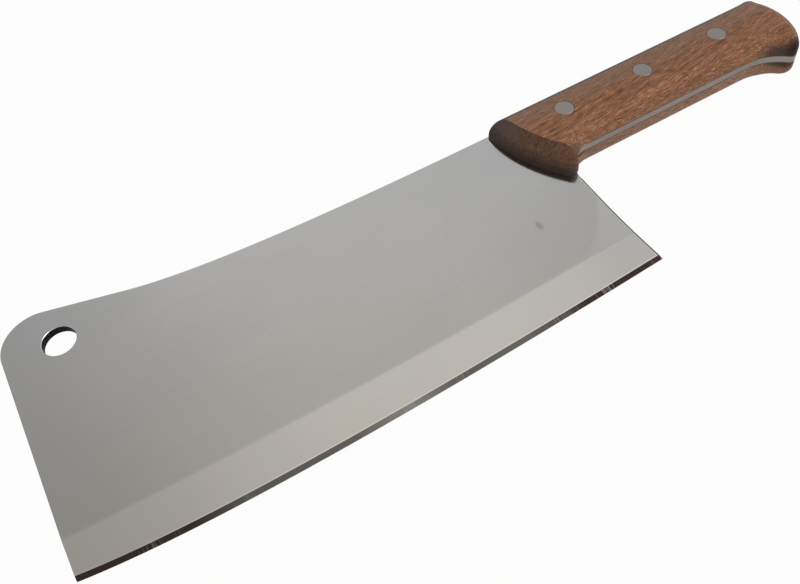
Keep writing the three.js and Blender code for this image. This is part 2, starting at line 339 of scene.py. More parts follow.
class Graph:
    """A node tree under construction."""

    def __init__(self, tree: bpy.types.NodeTree) -> None:
        """Start from an empty tree."""
        self.tree = tree
        tree.nodes.clear()

    def add(self, kind: str, inputs: dict[str | int, Any] | None = None, **settings: Any) -> bpy.types.Node:
        """Add a node.

        Args:
            kind: Blender's type name of the node.
            inputs: Values or sockets for its inputs, by name or number.
            **settings: Properties of the node.

        Returns:
            The node.
        """
        node = self.tree.nodes.new(kind)
        for name, value in settings.items():
            setattr(node, name, value)
        for key, value in (inputs or {}).items():
            self.feed(node.inputs[key], value)
        return node

    def feed(self, socket: Socket, value: Any) -> None:
        """Link another socket to an input, or set the input's value.

        Args:
            socket: The input.
            value: The other socket, or the value.
        """
        if isinstance(value, Socket):
            self.tree.links.new(value, socket)
        else:
            socket.default_value = value

    def group(self, tree: bpy.types.NodeTree, **inputs: Any) -> Any:
        """Place a shader node group and return its outputs."""
        return self.add("ShaderNodeGroup", inputs, node_tree=tree).outputs

    def math(self, operation: str, *values: Any) -> Socket:
        """Return the result of a math node."""
        return self.add("ShaderNodeMath", dict(enumerate(values)), operation=operation).outputs[0]

    def mix(self, share: Any, first: Any, second: Any, blend: Blend = Blend.COVER) -> Socket:
        """Blend two colours.

        Args:
            share: How much of the second colour shows.
            first: The first colour or its socket.
            second: The second colour or its socket.
            blend: Whether the second colour covers the first or tints it.

        Returns:
            The blended colour.
        """
        inputs = {0: share, 6: first, 7: second}
        return self.add("ShaderNodeMix", inputs, data_type="RGBA", blend_type=blend.value).outputs[2]

    def span(
        self, value: Any, low: float, high: float, to_low: float = 0.0, to_high: float = 1.0
    ) -> Socket:
        """Map a range of values smoothly onto another, and hold its ends.

        Args:
            value: The socket to read.
            low: Value that gives to_low.
            high: Value that gives to_high.
            to_low: Result at and below low.
            to_high: Result at and above high.

        Returns:
            The mapped value.
        """
        inputs = {0: value, 1: low, 2: high, 3: to_low, 4: to_high}
        return self.add("ShaderNodeMapRange", inputs, interpolation_type="SMOOTHSTEP").outputs[0]

    def ramp(self, value: Any, stops: Stops) -> Socket:
        """Colour a value by a row of stops.

        Args:
            value: The socket to read.
            stops: Places from 0 to 1 with their colours, two or more.

        Returns:
            The colour.
        """
        node = self.add("ShaderNodeValToRGB", {0: value})
        elements = node.color_ramp.elements
        while len(elements) < len(stops):
            elements.new(1.0)
        for element, (place, colour) in zip(elements, stops):
            element.position = place
            element.color = colour
        return node.outputs["Color"]

    def noise(self, vector: Socket, cells: Any, detail: float = 2.0) -> Socket:
        """Return noise values about one half.

        Args:
            vector: Coordinates in metres.
            cells: Cells per metre along x, y and z, or their socket.
            detail: Finer octaves on top.

        Returns:
            The noise.
        """
        placed = self.add("ShaderNodeMapping", {"Vector": vector, "Scale": cells})
        inputs = {"Vector": placed.outputs[0], "Scale": 1.0, "Detail": detail}
        return self.add("ShaderNodeTexNoise", inputs).outputs[0]

    def bump(self, height: Socket, depth: float) -> Socket:
        """Return normals for a relief of some depth in millimetres."""
        inputs = {"Height": height, "Distance": depth * MM, "Strength": 1.0}
        return self.add("ShaderNodeBump", inputs).outputs[0]


def shader_group(name: str, inputs: Sequence[str], outputs: Sequence[str]) -> tuple[Graph, Any, Any]:
    """Start a shader node group.

    Args:
        name: Name of the group.
        inputs: Names of its inputs, which are vectors.
        outputs: Names of its outputs, which are values.

    Returns:
        The graph to build in, the given inputs and the outputs to feed.
    """
    tree = bpy.data.node_groups.new(name, "ShaderNodeTree")
    for title in inputs:
        tree.interface.new_socket(name=title, in_out="INPUT", socket_type="NodeSocketVector")
    for title in outputs:
        tree.interface.new_socket(name=title, in_out="OUTPUT", socket_type="NodeSocketFloat")
    graph = Graph(tree)
    return graph, graph.add("NodeGroupInput").outputs, graph.add("NodeGroupOutput").inputs


@functools.cache
def fine_lines() -> bpy.types.NodeTree:
    """Build the group for the parallel lines that grinding, sanding and polishing leave.

    Returns:
        A group with the inputs Vector and Cells, which are the cells per metre, and the output Lines.
    """
    graph, given, result = shader_group("fine_lines", ["Vector", "Cells"], ["Lines"])
    lines = graph.noise(given["Vector"], given["Cells"], detail=3.0)
    graph.feed(result["Lines"], graph.span(lines, *LINE_CONTRAST))
    return graph.tree


@functools.cache
def handling_marks() -> bpy.types.NodeTree:
    """Build the group for what handling leaves on bright metal.

    Returns:
        A group with the inputs Vector and Cells and the outputs Smear, soft clouds, and Speck, sparse dots.
    """
    graph, given, result = shader_group("handling_marks", ["Vector", "Cells"], ["Smear", "Speck"])
    clouds = graph.noise(given["Vector"], given["Cells"], detail=4.0)
    graph.feed(result["Smear"], graph.span(clouds, *SMEAR_CONTRAST))
    placed = graph.add("ShaderNodeMapping", {"Vector": given["Vector"], "Scale": given["Cells"]})
    cells = graph.add("ShaderNodeTexVoronoi", {"Vector": placed.outputs[0], "Scale": 1.0})
    graph.feed(result["Speck"], graph.span(cells.outputs["Distance"], *SPECK_RADII, 1.0, 0.0))
    return graph.tree


def wear(graph: Graph, lines: Socket, smear: Socket) -> Socket:
    """Return how worn metal looks, from its lines and its smears."""
    return graph.math("MULTIPLY_ADD", lines, LINE_WEAR, graph.math("MULTIPLY", smear, SMEAR_WEAR))


@dataclass(frozen=True)
class OvalMark:
    """A soft oval mark, even up to its core's share of the way out.

    Its centre is in the frame's metres, and its half sizes are in millimetres.
    """

    centre: Triple
    reach: Triple
    colour: Colour
    share: float
    core: float = 0.35

    def over(self, graph: Graph, coordinates: Socket, colour: Socket) -> Socket:
        """Lay the mark over a colour.

        Args:
            graph: The material's graph.
            coordinates: Object coordinates.
            colour: The colour without the mark.

        Returns:
            The colour with the mark, which fades out towards its reach.
        """
        centred = graph.add("ShaderNodeVectorMath", {0: coordinates, 1: self.centre}, operation="SUBTRACT")
        inputs = {0: centred.outputs[0], 1: per_metre(self.reach)}
        scaled = graph.add("ShaderNodeVectorMath", inputs, operation="MULTIPLY")
        far = graph.add("ShaderNodeVectorMath", {0: scaled.outputs[0]}, operation="LENGTH").outputs["Value"]
        return graph.mix(graph.span(far, self.core, 1.0, self.share, 0.0), colour, self.colour)


@dataclass(frozen=True)
class Finish:
    """What every finish shares: a material with a Principled shader that reads Object coordinates."""

    name: str

    @functools.cache
    def material(self) -> bpy.types.Material:
        """Build the material, once.

        Returns:
            The material.
        """
        made = bpy.data.materials.new(self.name)
        made.use_nodes = True
        graph = Graph(made.node_tree)
        coordinates = graph.add("ShaderNodeTexCoord").outputs["Object"]
        shader = graph.add("ShaderNodeBsdfPrincipled")
        graph.add("ShaderNodeOutputMaterial", {"Surface": shader.outputs[0]})
        for socket, value in self.looks(graph, coordinates).items():
            graph.feed(shader.inputs[socket], value)
        return made

    def looks(self, graph: Graph, coordinates: Socket) -> dict[str, Any]:
        """Work out what feeds the shader.

        Args:
            graph: The material's graph.
            coordinates: Object coordinates.

        Returns:
            Values or sockets by the name of the shader's input.
        """
        raise NotImplementedError


@dataclass(frozen=True)
class WorkedMetal(Finish):
    """Metal that was ground, sanded or polished along one direction, and has been handled since."""

    colour: Colour
    dulled: Colour
    roughness: float
    rougher: float
    line_cell: Triple
    line_depth: float
    speck: Colour = grey(0.16)

    def looks(self, graph: Graph, coordinates: Socket) -> dict[str, Any]:
        """Blend lines and smears into colour, gloss and relief.

        Args:
            graph: The material's graph.
            coordinates: Object coordinates.

        Returns:
            Values or sockets by the name of the shader's input.
        """
        lines = graph.group(fine_lines(), Vector=coordinates, Cells=per_metre(self.line_cell))["Lines"]
        marks = graph.group(handling_marks(), Vector=coordinates, Cells=per_metre(SMEAR_CELL))
        worn = wear(graph, lines, marks["Smear"])
        colour = graph.mix(worn, self.colour, self.dulled)
        return {
            "Base Color": graph.mix(marks["Speck"], colour, self.speck),
            "Metallic": 1.0,
            "Roughness": graph.span(worn, 0.0, 1.0, self.roughness, self.rougher),
            "Normal": graph.bump(lines, self.line_depth),
        }


@dataclass(frozen=True, kw_only=True)
class CutEdge(WorkedMetal):
    """Sides of the plate: darker along both faces as painted shade, which along the tang stands for the
    shadow under the scales, and lighter at the flare as a painted reflection.
    """

    mid_z: float
    # Painted reflection: the side lighter at the flare.
    flare_light: OvalMark
    # Painted shade along both faces of the plate's sides.
    rim: Colour = srgb(96, 80, 70)
    shade_rim_heights: tuple[float, float] = (1.2, 1.6)

    def looks(self, graph: Graph, coordinates: Socket) -> dict[str, Any]:
        """Lay the clean patch and the dark rims over the worked metal.

        Args:
            graph: The material's graph.
            coordinates: Object coordinates.

        Returns:
            Values or sockets by the name of the shader's input.
        """
        looks = super().looks(graph, coordinates)
        z = graph.add("ShaderNodeSeparateXYZ", {0: coordinates}).outputs["Z"]
        away = graph.math("ABSOLUTE", graph.math("SUBTRACT", z, self.mid_z))
        low, high = (height * MM for height in self.shade_rim_heights)
        colour = self.flare_light.over(graph, coordinates, looks["Base Color"])
        # The rims along both faces are painted shade.
        return looks | {"Base Color": graph.mix(graph.span(away, low, high), colour, self.rim)}


@dataclass(frozen=True, kw_only=True)
class GroundEdge(Finish):
    """The sharpened strip: dark at nose and heel and greyer between, as a painted reflection, with clusters
    of fine lines across it.

    Places along it are shares of its length.
    """

    name: str = "ground_edge"
    start_x: float
    length: float
    # Tones along the strip are painted reflection: dark at the nose and the heel, lightest in the middle.
    nose: Colour = srgb(74, 62, 57)
    nose_end: float = 0.17
    first: Colour = srgb(114, 111, 109)
    first_ends: tuple[float, float] = (0.25, 0.42)
    reflection_peak: Colour = srgb(150, 147, 144)
    reflection_peak_at: float = 0.515
    second: Colour = srgb(104, 101, 99)
    second_ends: tuple[float, float] = (0.6, 0.73)
    heel: Colour = srgb(54, 42, 38)
    heel_start: float = 0.85
    line_light: Colour = srgb(176, 168, 160)
    line_share: float = 0.42
    line_cell: Triple = (0.5, 30, 30)
    line_contrast: tuple[float, float] = (0.55, 0.95)
    cluster_cell: Triple = (16, 200, 200)
    cluster_contrast: tuple[float, float] = (0.5, 0.68)
    line_depth: float = 0.008
    roughness: tuple[float, float] = (0.34, 0.46)

    def looks(self, graph: Graph, coordinates: Socket) -> dict[str, Any]:
        """Paint the strip's reflection along its length and lay the grinding lines across it.

        Args:
            graph: The material's graph.
            coordinates: Object coordinates.

        Returns:
            Values or sockets by the name of the shader's input.
        """
        lines = graph.group(fine_lines(), Vector=coordinates, Cells=per_metre(self.line_cell))["Lines"]
        spread = graph.noise(coordinates, per_metre(self.cluster_cell))
        clusters = graph.span(spread, *self.cluster_contrast, 0.0, self.line_share)
        along = graph.add("ShaderNodeSeparateXYZ", {0: coordinates}).outputs["X"]
        share = graph.math("DIVIDE", graph.math("SUBTRACT", along, self.start_x), self.length * MM)
        # Painted reflection along the strip's length.
        ground = graph.ramp(share, [
            (0.0, self.nose),
            (self.nose_end, self.nose),
            *[(place, self.first) for place in self.first_ends],
            (self.reflection_peak_at, self.reflection_peak),
            *[(place, self.second) for place in self.second_ends],
            (self.heel_start, self.heel),
            (1.0, self.heel),
        ])
        scratched = graph.math("MULTIPLY", graph.span(lines, *self.line_contrast), clusters)
        return {
            "Base Color": graph.mix(scratched, ground, self.line_light),
            "Metallic": 1.0,
            "Roughness": graph.span(lines, 0.0, 1.0, *self.roughness),
            "Normal": graph.bump(lines, self.line_depth),
        }


@dataclass(frozen=True)
class DarkBore(Finish):
    """The wall of the punched hole: rough, and near black, partly its own dull colour and partly painted
    shade in the hole.
    """

    name: str = "dark_bore"
    # The near-black tones are partly the bore's own colour and partly painted shade.
    dark: Colour = srgb(8, 8, 9)
    light: Colour = srgb(24, 23, 24)
    line_cell: Triple = (0.6, 0.6, 6)
    line_depth: float = 0.03
    metallic: float = 0.4
    specular: float = 0.1
    roughness: tuple[float, float] = (0.5, 0.7)

    def looks(self, graph: Graph, coordinates: Socket) -> dict[str, Any]:
        """Draw the punch's drag lines through the thickness.

        Args:
            graph: The material's graph.
            coordinates: Object coordinates.

        Returns:
            Values or sockets by the name of the shader's input.
        """
        lines = graph.group(fine_lines(), Vector=coordinates, Cells=per_metre(self.line_cell))["Lines"]
        return {
            "Base Color": graph.mix(lines, self.dark, self.light),
            "Metallic": self.metallic,
            "Specular IOR Level": self.specular,
            "Roughness": graph.span(lines, 0.0, 1.0, *self.roughness),
            "Normal": graph.bump(lines, self.line_depth),
        }


@dataclass(frozen=True, kw_only=True)
class OiledHardwood(Finish):
    """Open-pored reddish brown hardwood, lightly oiled. Its grain runs a little askew along the handle."""

    name: str = "oiled_hardwood"
    mid_z: float
    back_sheen_from: tuple[float, float]
    stains_and_shade: tuple[OvalMark, ...]
    light: Colour = srgb(158, 113, 81)
    middle: Colour = srgb(136, 93, 66)
    dark: Colour = srgb(109, 75, 54)
    tones: Triple = (0.36, 0.5, 0.64)
    drift_cell: Triple = (110, 10, 10)
    drift_share: float = 0.3
    streak_cell: Triple = (36, 1.6, 1.8)
    streak_share: float = 0.4
    fibre_cell: Triple = (9, 0.4, 0.5)
    fibre_share: float = 0.3
    # Painted sheen: the back of the handle greyer and plainer; the same grey covers the lower scale.
    grey_tone: Colour = srgb(132, 108, 93)
    back_sheen_share: float = 0.7
    lower_share: float = 0.5
    back_plainness: float = 0.55
    speckle_cell: Triple = (4.0, 0.32, 0.32)
    fleck: Colour = srgb(196, 149, 118)
    fleck_contrast: tuple[float, float] = (0.3, 0.41)
    fleck_share: float = 0.7
    pore: Colour = srgb(69, 46, 35)
    pore_contrast: tuple[float, float] = (0.6, 0.7)
    pore_share: float = 0.7
    pore_depth: float = 0.1
    # Painted shade on the edges that turn to the back and the butt.
    edge_shade: Colour = srgb(74, 56, 45)
    edge_shade_turn: tuple[float, float] = (0.15, 0.42)
    edge_shade_share: float = 0.85
    # End grain darker, partly its own colour and partly painted shade.
    end_grain_and_shade_tint: Colour = srgb(187, 201, 219)
    end_turn: tuple[float, float] = (0.3, 0.6)
    # Painted contact shade on the front wall, down towards the steel.
    contact_shade: Colour = srgb(60, 48, 44)
    contact_shade_heights: tuple[float, float] = (4.6, 8.0)
    contact_shade_share: float = 0.72
    roughness: tuple[float, float] = (0.5, 0.75)
    specular: float = 0.12

    def looks(self, graph: Graph, coordinates: Socket) -> dict[str, Any]:
        """Lay flecks and pores over the grain, then darker ends and edges and dark marks, which are painted
        shade in part.

        Args:
            graph: The material's graph.
            coordinates: Object coordinates.

        Returns:
            Values or sockets by the name of the shader's input.
        """
        turn = {"Vector": coordinates, "Rotation": (0, 0, -math.radians(GRAIN_TURN))}
        grain = graph.add("ShaderNodeMapping", turn).outputs[0]
        fibres = graph.noise(grain, per_metre(self.fibre_cell))
        place = graph.add("ShaderNodeSeparateXYZ", {0: coordinates}).outputs
        back = graph.span(place["Y"], *self.back_sheen_from)
        # Painted sheen on the back, and the greyer lower scale.
        colour = self.greyed(graph, place["Z"], back, self.grown(graph, grain, fibres))
        # The back's plainer grain is painted sheen too.
        plainer = graph.math("MULTIPLY_ADD", back, -self.back_plainness, 1.0)
        speckle = graph.noise(grain, per_metre(self.speckle_cell), detail=1.0)
        flecks = graph.span(speckle, *self.fleck_contrast, self.fleck_share, 0.0)
        colour = graph.mix(graph.math("MULTIPLY", flecks, plainer), colour, self.fleck)
        pores = graph.span(speckle, *self.pore_contrast)
        holes = graph.math("MULTIPLY", graph.math("MULTIPLY", pores, plainer), self.pore_share)
        colour = self.darkened(graph, place["Z"], graph.mix(holes, colour, self.pore))
        # Dark marks, partly painted shade.
        for dark_mark in self.stains_and_shade:
            colour = dark_mark.over(graph, coordinates, colour)
        return {
            "Base Color": colour,
            "Roughness": graph.span(pores, 0.0, 1.0, *self.roughness),
            "Specular IOR Level": self.specular,
            "Normal": graph.bump(graph.math("SUBTRACT", fibres, pores), self.pore_depth),
        }

    def grown(self, graph: Graph, grain: Socket, fibres: Socket) -> Socket:
        """Colour the wood by broad drifts, streaks and fibres along its grain.

        Args:
            graph: The material's graph.
            grain: Coordinates along the grain.
            fibres: Noise of the fibres.

        Returns:
            The colour.
        """
        drift = graph.noise(grain, per_metre(self.drift_cell))
        streaks = graph.noise(grain, per_metre(self.streak_cell), detail=3.0)
        tone = graph.math("MULTIPLY", drift, self.drift_share)
        tone = graph.math("MULTIPLY_ADD", streaks, self.streak_share, tone)
        tone = graph.math("MULTIPLY_ADD", fibres, self.fibre_share, tone)
        return graph.ramp(tone, list(zip(self.tones, (self.dark, self.middle, self.light))))

    def greyed(self, graph: Graph, height: Socket, back: Socket, colour: Socket) -> Socket:
        """Make the back of the handle greyer as a painted sheen, and the lower scale greyer all over.

        Args:
            graph: The material's graph.
            height: Object coordinate through the thickness.
            back: One along the back and none along the underside.
            colour: The colour before greying.

        Returns:
            The greyer colour.
        """
        under = graph.span(height, self.mid_z - MM, self.mid_z + MM, self.lower_share, 0.0)
        share = graph.math("MAXIMUM", graph.math("MULTIPLY", back, self.back_sheen_share), under)
        return graph.mix(share, colour, self.grey_tone)

    def darkened(self, graph: Graph, height: Socket, colour: Socket) -> Socket:
        """Darken the edges at the back and the butt as painted shade, and the end grain, partly for its own
        colour and partly as painted shade, most of all down towards the steel as painted contact shade.

        Args:
            graph: The material's graph.
            height: Object coordinate through the thickness.
            colour: The colour along the grain.

        Returns:
            The colour with its ends.
        """
        edges = graph.add("ShaderNodeAttribute", attribute_name="back_edge").outputs["Fac"]
        # Painted shade where the surface turns to the back and the butt.
        edge_shading = graph.span(edges, *self.edge_shade_turn, 0.0, self.edge_shade_share)
        colour = graph.mix(edge_shading, colour, self.edge_shade)
        ends = graph.add("ShaderNodeAttribute", attribute_name="end_grain_and_shade").outputs["Fac"]
        # End grain darker, partly its own colour and partly painted shade.
        share = graph.span(ends, *self.end_turn)
        colour = graph.mix(share, colour, self.end_grain_and_shade_tint, Blend.TINT)
        away = graph.math("ABSOLUTE", graph.math("SUBTRACT", height, self.mid_z))
        low, high = (z * MM for z in self.contact_shade_heights)
        # Painted contact shade on the end grain near the steel.
        shaded_low_end = graph.math("MULTIPLY", share, graph.span(away, low, high, self.contact_shade_share, 0.0))
        return graph.mix(shaded_low_end, colour, self.contact_shade)


@dataclass(frozen=True)
class HandleOutline:
    """Plan of the handle. Tang and scales share its underside, flare and butt."""

    heel_x: float = 220.0
    heel_lean: float = 1.2
    back_y: float = 88.8
    length: float = 126.84
    grip_height: float = 27.3
    heel_fillet: float = 14.0
    overhang: float = 1.5
    tip_drop: float = 11.2
    tip_radius: float = 4.1
    front_radius: float = 70.0
    front_lean: float = 35.1
    front_corner_radius: float = 2.4
    flare_length: float = 27.7
    flare_radius: float = 22.5
    butt_radius: float = 26.9
    butt_crown: float = 16.1
    low_corner: float = 3.0
    high_corner: float = 5.8

    @property
    def butt_x(self) -> float:
        """End of the butt."""
        return self.heel_x + self.length

    @property
    def grip_bottom(self) -> float:
        """Underside of the straight grip."""
        return self.back_y - self.grip_height

    def heel_at(self, y: float) -> float:
        """Return the place of the leaning heel at a height in plan."""
        return self.heel_x + y * math.tan(math.radians(self.heel_lean))

    @property
    def heel(self) -> Vector:
        """Centre of the hollow behind the heel."""
        y = self.grip_bottom - self.heel_fillet
        return Vector((self.heel_at(y) + self.heel_fillet / math.cos(math.radians(self.heel_lean)), y))

    @property
    def hollow(self) -> Vector:
        """Centre of the same hollow in the scales, which stand a little over the steel there."""
        return self.heel + Vector((self.overhang, 0))

    @property
    def tip(self) -> Vector:
        """Find the scales' round front tip, which touches their hollow.

        Returns:
            Its centre.
        """
        y = self.grip_bottom - self.tip_drop + self.tip_radius
        reach = self.heel_fillet + self.tip_radius
        return Vector((self.hollow.x - math.sqrt(reach**2 - (y - self.hollow.y) ** 2), y))

    @property
    def bow(self) -> Vector:
        """Centre of the front's long bow, which touches the round tip."""
        return polar(self.tip, self.front_radius - self.tip_radius, math.radians(self.front_lean))

    @property
    def front_corner(self) -> Vector:
        """Find the rounded corner between the bow and the back.

        Returns:
            Its centre.
        """
        y = self.back_y - self.front_corner_radius
        reach = self.front_radius - self.front_corner_radius
        return Vector((self.bow.x - math.sqrt(reach**2 - (self.bow.y - y) ** 2), y))

    @property
    def front_angles(self) -> tuple[float, float]:
        """Angles of the bow's ends about its centre, at the back and at the tip."""
        return bearing(self.bow, self.front_corner) + 2 * math.pi, math.pi + math.radians(self.front_lean)

    @property
    def flare(self) -> Vector:
        """Centre of the hollow flare in front of the butt."""
        return Vector((self.butt_x - self.flare_length, self.grip_bottom - self.flare_radius))

    @property
    def butt(self) -> Vector:
        """Centre of the butt's round end."""
        return Vector((self.butt_x - self.butt_radius, self.back_y - self.butt_crown))

    @property
    def low(self) -> Vector:
        """Centre of the butt's low corner, between flare and round end."""
        outside = self.flare_radius + self.low_corner
        return circles_meet(self.flare, outside, self.butt, self.butt_radius - self.low_corner)

    @property
    def sharp_corners(self) -> list[tuple[Vector, float]]:
        """Centres and radii of the corners that are rounded less than the scales' edges."""
        return [(self.low, self.low_corner), (self.front_corner, self.front_corner_radius)]

    def grip(self) -> list[Vector]:
        """Trace the flare and the butt, from the underside round to the back.

        Returns:
            Points of the stretch.
        """
        flare, butt, low = self.flare, self.butt, self.low
        inside = self.butt_radius - self.high_corner
        rise = self.butt_crown - self.high_corner
        high = Vector((butt.x + math.sqrt(inside**2 - rise**2), self.back_y - self.high_corner))
        touch = bearing(flare, low)
        leave = bearing(butt, low)
        top = bearing(butt, high)
        return [
            *arc(flare, self.flare_radius, math.pi / 2, touch),
            *arc(low, self.low_corner, touch - math.pi, leave),
            *arc(butt, self.butt_radius, leave, top),
            *arc(high, self.high_corner, top, math.pi / 2),
        ]

    def scale(self) -> list[Vector]:
        """Trace a whole scale.

        Returns:
            The closed outline, counter-clockwise.
        """
        touch = bearing(self.hollow, self.tip)
        first, last = self.front_angles
        return divided([
            *arc(self.tip, self.tip_radius, last, touch + math.pi),
            *arc(self.hollow, self.heel_fillet, touch, math.pi / 2),
            *self.grip(),
            *arc(self.front_corner, self.front_corner_radius, math.pi / 2, first),
            *arc(self.bow, self.front_radius, first, last),
        ])


class RivetTree:
    """Geometry nodes that turn a rivet half, head up, and repeat it along the handle."""

    FLOATS = (
        "Pitch", "Head Radius", "Head Thickness", "Chamfer",
        "Shank Radius", "Shank Length", "End Radius", "End Rise", "End Run",
    )
    ROUND_STEPS = 64

    def __init__(self) -> None:
        """Build the tree."""
        self.tree = bpy.data.node_groups.new("rivet_row", "GeometryNodeTree")
        face = self.tree.interface
        self.sockets: dict[str, str] = {}
        kinds = {name: "NodeSocketFloat" for name in self.FLOATS}
        kinds |= {"Count": "NodeSocketInt", "Start": "NodeSocketVector", "Turn": "NodeSocketVector"}
        kinds |= {"Metal": "NodeSocketMaterial"}
        for name, kind in kinds.items():
            socket = face.new_socket(name=name, in_out="INPUT", socket_type=kind)
            self.sockets[name] = socket.identifier
        face.new_socket(name="Geometry", in_out="OUTPUT", socket_type="NodeSocketGeometry")
        self.graph = Graph(self.tree)
        self.given = self.graph.add("NodeGroupInput").outputs
        self.lay_out()

    def step(self, mesh: Socket, faces: Socket, rise: Any, size: Any) -> tuple[Socket, Socket]:
        """Draw the selected end of a turned body out and change its radius.

        Args:
            mesh: The body.
            faces: Selection of its end.
            rise: How far the end moves out.
            size: Share of its radius that it keeps.

        Returns:
            The longer body and the selection of its new end.
        """
        inputs = {"Mesh": mesh, "Selection": faces, "Offset Scale": rise, "Individual": False}
        drawn = self.graph.add("GeometryNodeExtrudeMesh", inputs)
        inputs = {"Geometry": drawn.outputs["Mesh"], "Selection": drawn.outputs["Top"], "Scale": size}
        sized = self.graph.add("GeometryNodeScaleElements", inputs)
        return sized.outputs[0], drawn.outputs["Top"]

    def lay_out(self) -> None:
        """Join the nodes: head, chamfer, shank and end, then the row of copies."""
        graph = self.graph
        given = self.given
        body = graph.math("SUBTRACT", given["Head Thickness"], given["Chamfer"])
        inputs = {"Vertices": self.ROUND_STEPS, "Radius": given["Head Radius"], "Depth": body}
        head = graph.add("GeometryNodeMeshCylinder", inputs).outputs
        rim = graph.math("SUBTRACT", given["Head Radius"], given["Chamfer"])
        size = graph.math("DIVIDE", rim, given["Head Radius"])
        mesh, _ = self.step(head["Mesh"], head["Top"], given["Chamfer"], size)
        size = graph.math("DIVIDE", given["Shank Radius"], given["Head Radius"])
        mesh, end = self.step(mesh, head["Bottom"], 0.0, size)
        mesh, end = self.step(mesh, end, given["Shank Length"], 1.0)
        size = graph.math("DIVIDE", given["End Radius"], given["Shank Radius"])
        mesh, end = self.step(mesh, end, given["End Rise"], size)
        mesh, _ = self.step(mesh, end, given["End Run"], 1.0)
        lower = graph.math("MULTIPLY_ADD", body, -0.5, graph.math("MULTIPLY", given["Chamfer"], -1.0))
        shift = graph.add("ShaderNodeCombineXYZ", {"Z": lower}).outputs[0]
        half = graph.add("GeometryNodeTransform", {"Geometry": mesh, "Translation": shift}).outputs[0]
        offset = graph.add("ShaderNodeCombineXYZ", {"X": given["Pitch"]}).outputs[0]
        inputs = {"Count": given["Count"], "Start Location": given["Start"], "Offset": offset}
        row = graph.add("GeometryNodeMeshLine", inputs).outputs[0]
        turn = graph.add("FunctionNodeEulerToRotation", {0: given["Turn"]}).outputs[0]
        inputs = {"Points": row, "Instance": half, "Rotation": turn}
        copies = graph.add("GeometryNodeInstanceOnPoints", inputs).outputs[0]
        real = graph.add("GeometryNodeRealizeInstances", {0: copies}).outputs[0]
        painted = graph.add("GeometryNodeSetMaterial", {"Geometry": real, "Material": given["Metal"]})
        graph.add("NodeGroupOutput", {0: painted.outputs[0]})

    def make(self, name: str, values: dict[str, Any]) -> bpy.types.Object:
        """Evaluate the tree into a plain mesh.

        Args:
            name: Name of the new piece.
            values: Values of the tree's inputs by name.

        Returns:
            The piece.
        """
        piece = bpy.data.objects.new(name, bpy.data.meshes.new(name))
        bpy.context.scene.collection.objects.link(piece)
        modifier = piece.modifiers.new("rivet_row", "NODES")
        modifier.node_group = self.tree
        for title, value in values.items():
            modifier[self.sockets[title]] = value
        settle(piece)
        return piece


@dataclass(frozen=True)
class RivetRow:
    """Three compression rivets: headed posts from above, pressed into headed sleeves from below."""

    handle: HandleOutline
    count: int = 3
    pitch: float = 39.7
    from_heel: float = 13.3
    drop: float = 12.8
    head_radius: float = 4.0
    head_thickness: float = 2.0
    head_chamfer: float = 0.12
    sleeve_radius: float = 2.8
    post_radius: float = 1.8
    free_length: float = 2.0
    clearance: float = 0.1
    pilot_radius: float = 1.2
    pilot_taper: float = 0.6
    pilot_length: float = 0.4
    crease: float = 25.0

    @property
    def centres(self) -> list[Vector]:
        """Find where the rivets stand.

        Returns:
            Their centres in plan.
        """
        y = self.handle.back_y - self.drop
        first = self.handle.heel_x + self.from_heel
        return [Vector((first + k * self.pitch, y)) for k in range(self.count)]

    def build(self, plan: Plan, face: float, metal: bpy.types.Material) -> list[bpy.types.Object]:
        """Model the posts and the sleeves, each as one row.

        Args:
            plan: Where the plan lies.
            face: Height of the scales' faces above mid steel.
            metal: Material of the rivets.

        Returns:
            The posts and the sleeves.
        """
        tree = RivetTree()
        first = self.centres[0]
        seat = face - self.head_thickness
        post_length = 2 * seat - 2 * self.free_length - self.pilot_taper - self.pilot_length
        tube_length = 2 * seat - self.free_length
        shared = {
            "Pitch": self.pitch * MM,
            "Head Radius": self.head_radius * MM,
            "Head Thickness": self.head_thickness * MM,
            "Chamfer": self.head_chamfer * MM,
            "Count": self.count,
            "Metal": metal,
        }
        posts = tree.make("rivet_posts", shared | {
            "Shank Radius": self.post_radius * MM,
            "Shank Length": post_length * MM,
            "End Radius": self.pilot_radius * MM,
            "End Rise": self.pilot_taper * MM,
            "End Run": self.pilot_length * MM,
            "Start": plan.place(first.x, first.y, face),
            "Turn": (0.0, 0.0, 0.0),
        })
        sleeves = tree.make("rivet_sleeves", shared | {
            "Shank Radius": self.sleeve_radius * MM,
            "Shank Length": tube_length * MM,
            "End Radius": (self.post_radius + self.clearance) * MM,
            "End Rise": 0.0,
            "End Run": -(tube_length - self.free_length) * MM,
            "Start": plan.place(first.x, first.y, -face),
            "Turn": (math.pi, 0.0, 0.0),
        })
        rows = [posts, sleeves]
        for row in rows:
            shade(row, self.crease)
        return rows

    def dress(self, rows: Sequence[bpy.types.Object]) -> None:
        """Hand the rows, which have their metal, to the frame."""
        for row, kind in zip(rows, ("rivet_post", "rivet_sleeve")):
            attach(row, "rivet_metal", *[f"{kind}_{k + 1}" for k in range(self.count)])


